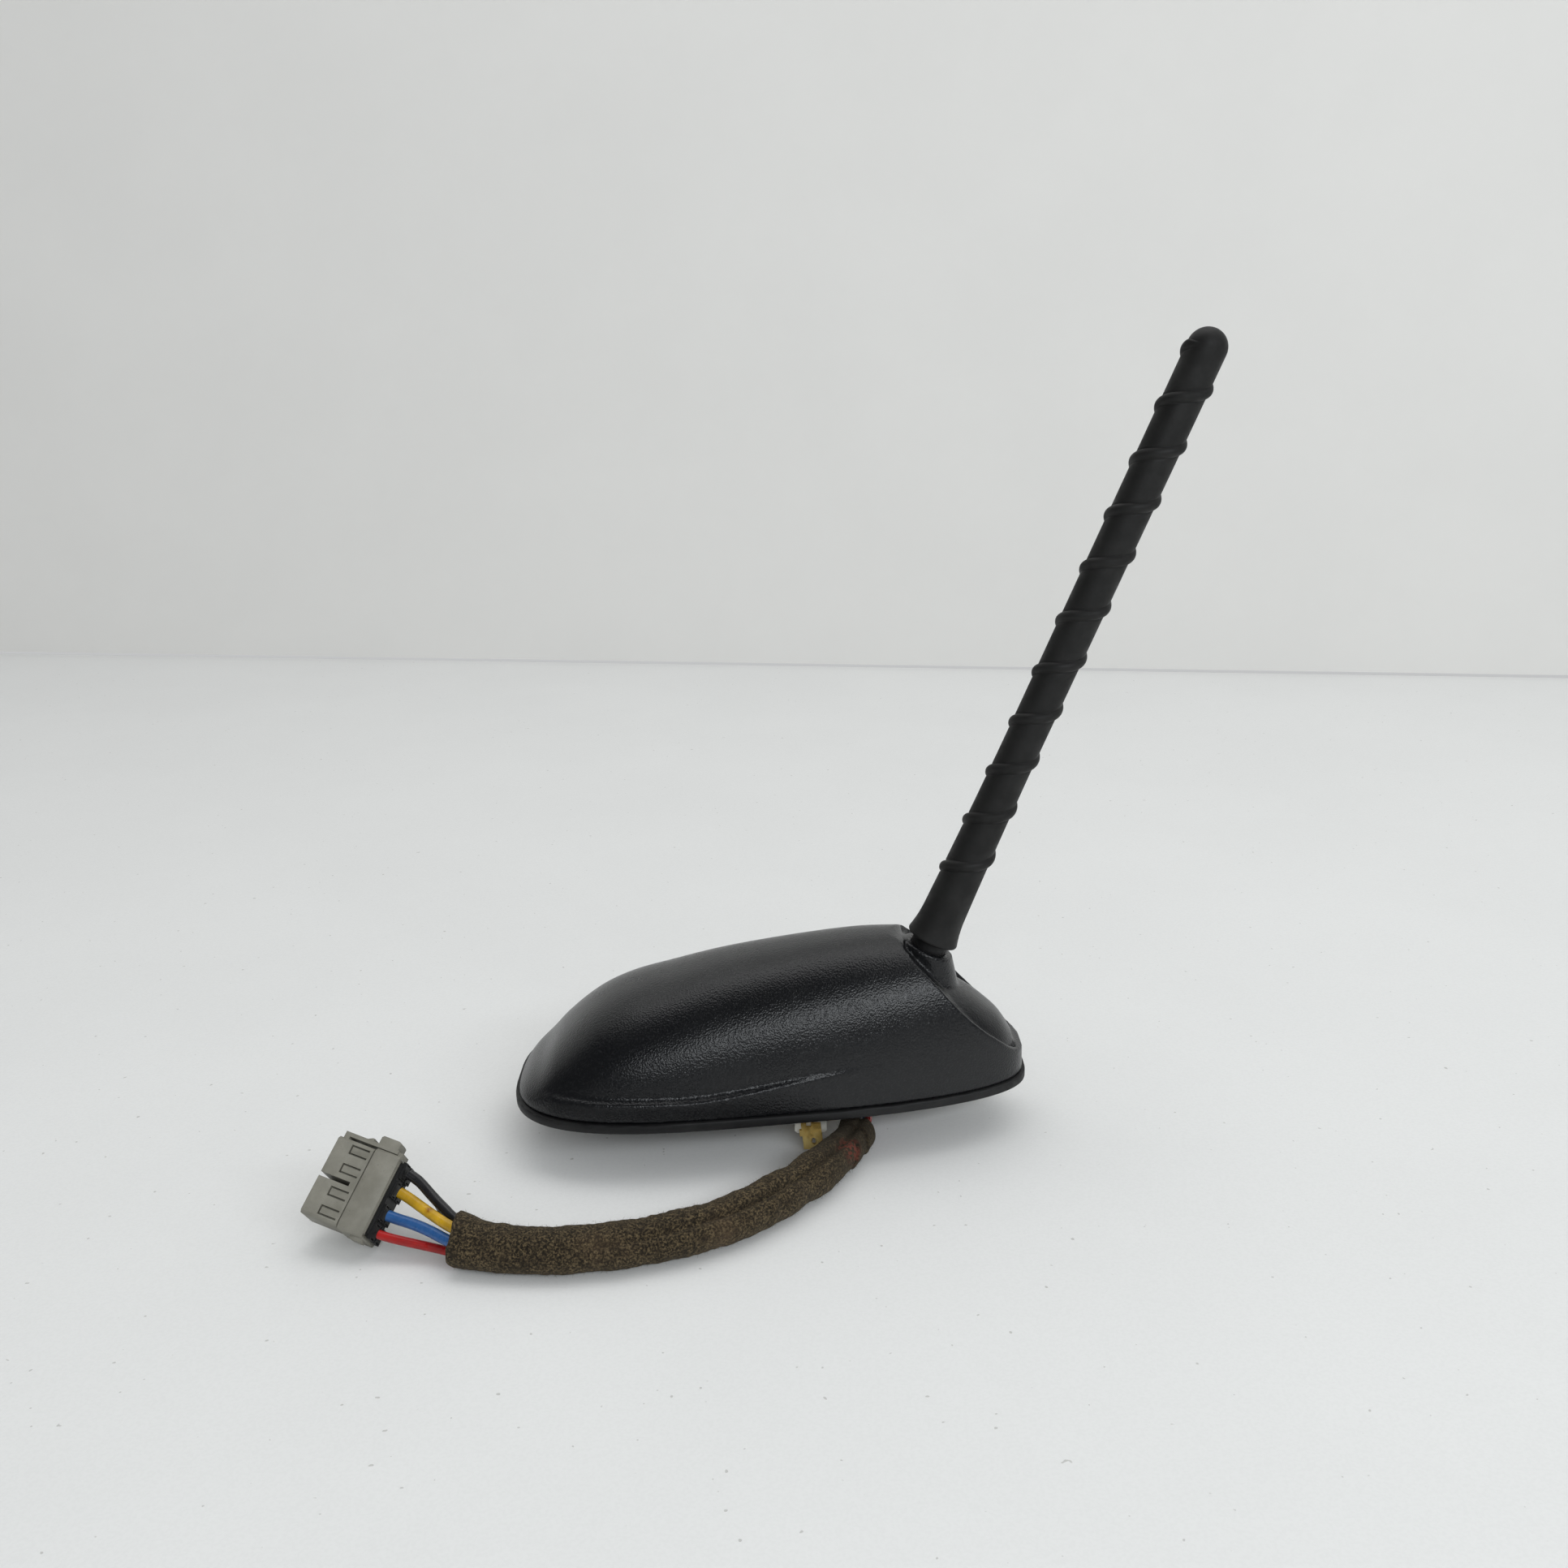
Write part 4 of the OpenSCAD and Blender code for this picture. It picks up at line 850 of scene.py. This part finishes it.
def make_fuzz(sleeve):
    """Stray fibres that stand out of the felt, scattered by a tree of nodes."""
    sizes = {"Density": 420000.0, "Fibre Length": 1.0, "Fibre Width": 0.06, "Seed": 7}
    tree, start, end, sockets = tree_with("felt_fuzz", sizes)
    scatter = tree.nodes.new("GeometryNodeDistributePointsOnFaces")
    scatter.distribute_method = "RANDOM"
    tree.links.new(start.outputs["Geometry"], scatter.inputs["Mesh"])
    tree.links.new(start.outputs["Density"], scatter.inputs["Density"])
    tree.links.new(start.outputs["Seed"], scatter.inputs["Seed"])
    line = tree.nodes.new("GeometryNodeMeshCone")
    line.fill_type = "NONE"
    line.inputs["Vertices"].default_value = 3
    line.inputs["Side Segments"].default_value = 2
    thin = Value(tree, start.outputs["Fibre Width"]) * (MM / 2)
    tall = Value(tree, start.outputs["Fibre Length"]) * MM
    tree.links.new((thin * 0.3).source, line.inputs["Radius Top"])
    tree.links.new(thin.source, line.inputs["Radius Bottom"])
    tree.links.new(tall.source, line.inputs["Depth"])
    lean = tree.nodes.new("FunctionNodeRandomValue")
    lean.data_type = "FLOAT_VECTOR"
    lean.inputs[0].default_value = (-1.25, -1.25, -3.1)
    lean.inputs[1].default_value = (1.25, 1.25, 3.1)
    turn = tree.nodes.new("FunctionNodeRotateRotation")
    turn.rotation_space = "LOCAL"
    tree.links.new(scatter.outputs["Rotation"], turn.inputs[0])
    tree.links.new(lean.outputs[0], turn.inputs[1])
    size = tree.nodes.new("FunctionNodeRandomValue")
    size.inputs[2].default_value = 0.45
    size.inputs[3].default_value = 1.25
    copies = tree.nodes.new("GeometryNodeInstanceOnPoints")
    tree.links.new(scatter.outputs["Points"], copies.inputs["Points"])
    tree.links.new(line.outputs["Mesh"], copies.inputs["Instance"])
    tree.links.new(turn.outputs[0], copies.inputs["Rotation"])
    tree.links.new(size.outputs[1], copies.inputs["Scale"])
    real = tree.nodes.new("GeometryNodeRealizeInstances")
    coat = tree.nodes.new("GeometryNodeSetMaterial")
    coat.inputs["Material"].default_value = FIBRE
    tree.links.new(copies.outputs[0], real.inputs[0])
    tree.links.new(real.outputs[0], coat.inputs["Geometry"])
    tree.links.new(coat.outputs[0], end.inputs[0])
    fuzz = bpy.data.objects.new("felt_fibres", sleeve.data.copy())
    bpy.context.scene.collection.objects.link(fuzz)
    grown(fuzz, tree, sockets, sizes)
    fuzz.data.materials.clear()
    fuzz.data.materials.append(FIBRE)
    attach(fuzz, "root")
    return fuzz


def make_lead(name, diameter, material, slot):
    """One lead from the tape to the plug, as a round curve."""
    path = flowing(LEAD_ROUTES[name], 40)
    curve = bpy.data.curves.new("lead_" + name, "CURVE")
    curve.dimensions = "3D"
    curve.bevel_depth = diameter / 2 * MM
    curve.bevel_resolution = 6
    curve.use_fill_caps = True
    spline = curve.splines.new("POLY")
    spline.points.add(len(path) - 1)
    for point, p in zip(spline.points, path[::-1]):
        point.co = (*(p * MM), 1.0)
    spline.use_smooth = True
    curve.materials.append(material)
    lead = bpy.data.objects.new("lead_" + name, curve)
    bpy.context.scene.collection.objects.link(lead)
    stand_for(lead, slot, "wire_" + name)
    return lead


def make_tails():
    """The short ends between the tape and the base: one bundle of five, bent up into the grommet."""
    way = SLEEVE_ROUTE[0] - SLEEVE_ROUTE[1]
    way /= np.linalg.norm(way)
    line = [SLEEVE_ROUTE[0] + step * way for step in (-3.0, 0.2, 3.4)]
    bend = 8.5
    for turn in np.radians([18, 36, 54, 72, 90]):
        x = 16 - 0.3 * (1 - turn / (math.pi / 2))
        line.append(np.array([x, -2 - bend + bend * math.sin(turn), -9.0 + bend * (1 - math.cos(turn))]))
    line.append(np.array([16, -2, 7.0]))
    path = flowing(line, 46)
    d = np.gradient(path, axis=0)
    d /= np.linalg.norm(d, axis=1)[:, None]
    n = np.cross(d, (0, 0, 1.0))
    n[-18:] = n[-19]  # the upright stretch keeps the direction it started with
    n /= np.linalg.norm(n, axis=1)[:, None]
    b = np.cross(d, n)
    count = 20
    vertices, faces, shades = [], [], []
    for k, (width, shade) in enumerate(((2.6, 0), (3.0, 1), (2.9, 2), (2.8, 3), (2.2, 3))):
        turn = 2 * math.pi * k / 5
        centre = path + 3.0 * (n * math.cos(turn) + b * math.sin(turn))
        start = len(vertices)
        for i in range(len(path)):
            for a in np.linspace(0, 2 * math.pi, count, endpoint=False):
                vertices.append((centre[i] + width / 2 * (n[i] * math.cos(a) + b[i] * math.sin(a))) * MM)
        for i in range(len(path) - 1):
            for j in range(count):
                p, q = start + i * count + j, start + i * count + (j + 1) % count
                faces.append([p, q, q + count, p + count])
        faces.append([start + j for j in range(count)][::-1])
        faces.append([start + (len(path) - 1) * count + j for j in range(count)])
        shades += [shade] * (len(faces) - len(shades))
    tails = new_piece("lead_ends", vertices, faces, RED)
    for material in (BLUE, YELLOW, BLACK):
        tails.data.materials.append(material)
    tails.data.polygons.foreach_set("material_index", shades)
    bm = bmesh.new()
    bm.from_mesh(tails.data)
    bmesh.ops.recalc_face_normals(bm, faces=bm.faces)
    bm.to_mesh(tails.data)
    bm.free()
    return stand_for(tails, "lead_mixed", "lead_tails")


make_shell()
make_mast()
plug = [
    eased("connector_housing", "grey_nylon", 0.00022),
    eased("connector_lock", "grey_nylon", 0.00025),
    eased("wire_seals", "black_rubber", 0.0001, 1, pressed_seals),
    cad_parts["terminals"],
]
felt = make_sleeve()
make_fuzz(felt)
for lead_name, lead_size, lead_finish, lead_slot in (
    ("red", 2.6, RED, "lead_red"), ("blue", 3.2, BLUE, "lead_blue"), ("yellow", 3.1, YELLOW, "lead_yellow"),
    ("black", 3.0, BLACK, "lead_black"), ("black_thin", 2.2, BLACK, "lead_black"),
):
    make_lead(lead_name, lead_size, lead_finish, lead_slot)
make_tails()
eased("gasket", "black_rubber", 0.0005, 3)
eased("clip_block", "white_nylon", 0.0004)
eased("retaining_clip", "yellow_plate", 0.00012, 1, bent_clip, True)
eased("fixing_bolt", "yellow_plate", 0.0003)

# ---------------------------------------------------------------- table, wall, lamps and camera


def plain(name, colour, roughness=0.9, grain=0.0, specks=False):
    """A matt finish for the stage, with faint clouds and, on the table, specks of dirt."""
    f = Finish(name, colour, roughness, specular_ior_level=0.2)
    if grain:
        spot = f.cloud(9.0, 6.0, 0.6)
        base = f.blend(f.span(spot, 0.3, 0.7), tuple(c * (1 - grain) for c in colour), colour)
        if specks:
            base = f.blend(f.span(f.cloud(1100.0, 2.0), 0.35, 0.7, 0.0, 0.07), base, (0.45, 0.45, 0.44))
            base = f.blend(f.span(f.cloud(420.0, 1.0), 0.77, 0.8, 0.0, 0.5), base, (0.3, 0.29, 0.27))
        f.colour(base)
    return f.material


def sheet(name, corners, material):
    """One flat face of the stage, its corners in mm."""
    return new_piece(name, [(*(p * MM), z * MM) for p, z in corners], [[0, 1, 2, 3]], material, False)


FLOOR_Z = -16.1
LIFT = 2.2  # the back board stops just above the table, before a dark joint
seen_from, seen_to = np.array([-652.0, 819.0]), np.array([534.0, 587.0])
wall_run = (seen_to - seen_from) / np.linalg.norm(seen_to - seen_from)
wall_far = np.array([-wall_run[1], wall_run[0]])
ends = [seen_from - 2500 * wall_run, seen_to + 2500 * wall_run]
near = [end - 3200 * wall_far for end in ends]
face = [end - 2 * wall_far for end in ends]
back = [end + 25 * wall_far for end in ends]
table = sheet("table_top", [(near[0], FLOOR_Z), (near[1], FLOOR_Z), (ends[1], FLOOR_Z), (ends[0], FLOOR_Z)],
              plain("pale_table", (0.745, 0.75, 0.742), 0.75, 0.02, True))
wall = sheet("back_board", [(face[0], FLOOR_Z + LIFT), (face[1], FLOOR_Z + LIFT), (face[1], 2400), (face[0], 2400)],
             plain("pale_board", (0.76, 0.755, 0.735), 0.9, 0.02))
slit = sheet("dark_joint", [(back[0], FLOOR_Z), (back[1], FLOOR_Z), (back[1], FLOOR_Z + 14), (back[0], FLOOR_Z + 14)],
             plain("dark_gap", (0.03, 0.028, 0.024)))


def area_lamp(name, at, aim, size, watts, colour=(1, 1, 1)):
    """A rectangular lamp, its places and size in metres."""
    light = bpy.data.lights.new(name, "AREA")
    light.shape = "RECTANGLE"
    light.size, light.size_y = size
    light.energy = watts
    light.color = colour
    lamp = bpy.data.objects.new(name, light)
    lamp.location = at
    lamp.rotation_euler = (Vector(aim) - Vector(at)).to_track_quat("-Z", "Y").to_euler()
    bpy.context.scene.collection.objects.link(lamp)


area_lamp("ceiling", (0.2, 0.5, 1.5), (0.1, 0.3, 0.0), (2.2, 1.3), 13.4)
area_lamp("window", (0.55, -1.3, 0.88), (0.03, 0.05, 0.0), (1.9, 0.24), 13.5, (0.93, 0.97, 1.0))
# The room gives an even light and is darker in reflections, where the lamps and the stage show.
world = bpy.data.worlds.new("room")
world.use_nodes = True
ray = world.node_tree.nodes.new("ShaderNodeLightPath")
dim = world.node_tree.nodes.new("ShaderNodeMapRange")
dim.inputs["To Min"].default_value = 0.55
dim.inputs["To Max"].default_value = 0.05
world.node_tree.links.new(ray.outputs["Is Glossy Ray"], dim.inputs["Value"])
world.node_tree.nodes["Background"].inputs[0].default_value = (0.98, 0.99, 1.0, 1.0)
world.node_tree.links.new(dim.outputs[0], world.node_tree.nodes["Background"].inputs[1])
bpy.context.scene.world = world

camera = bpy.data.cameras.new("camera")
camera.lens = 36.0
camera.sensor_width = 36.0
camera.clip_start = 0.01
viewer = bpy.data.objects.new("camera", camera)
# The camera that was fitted to the photograph's outlines
right = Vector((0.99965, -0.00752, -0.02526))
down = Vector((-0.02635, -0.28628, -0.95778))
forward = Vector((-0.00003, 0.95812, -0.28638))
turned = Matrix((right, -down, -forward)).transposed().to_4x4()
viewer.matrix_world = Matrix.Translation(Vector((-0.005535, -0.46089, 0.23584))) @ turned
bpy.context.scene.collection.objects.link(viewer)
bpy.context.scene.camera = viewer
bpy.context.scene.view_settings.view_transform = "Standard"
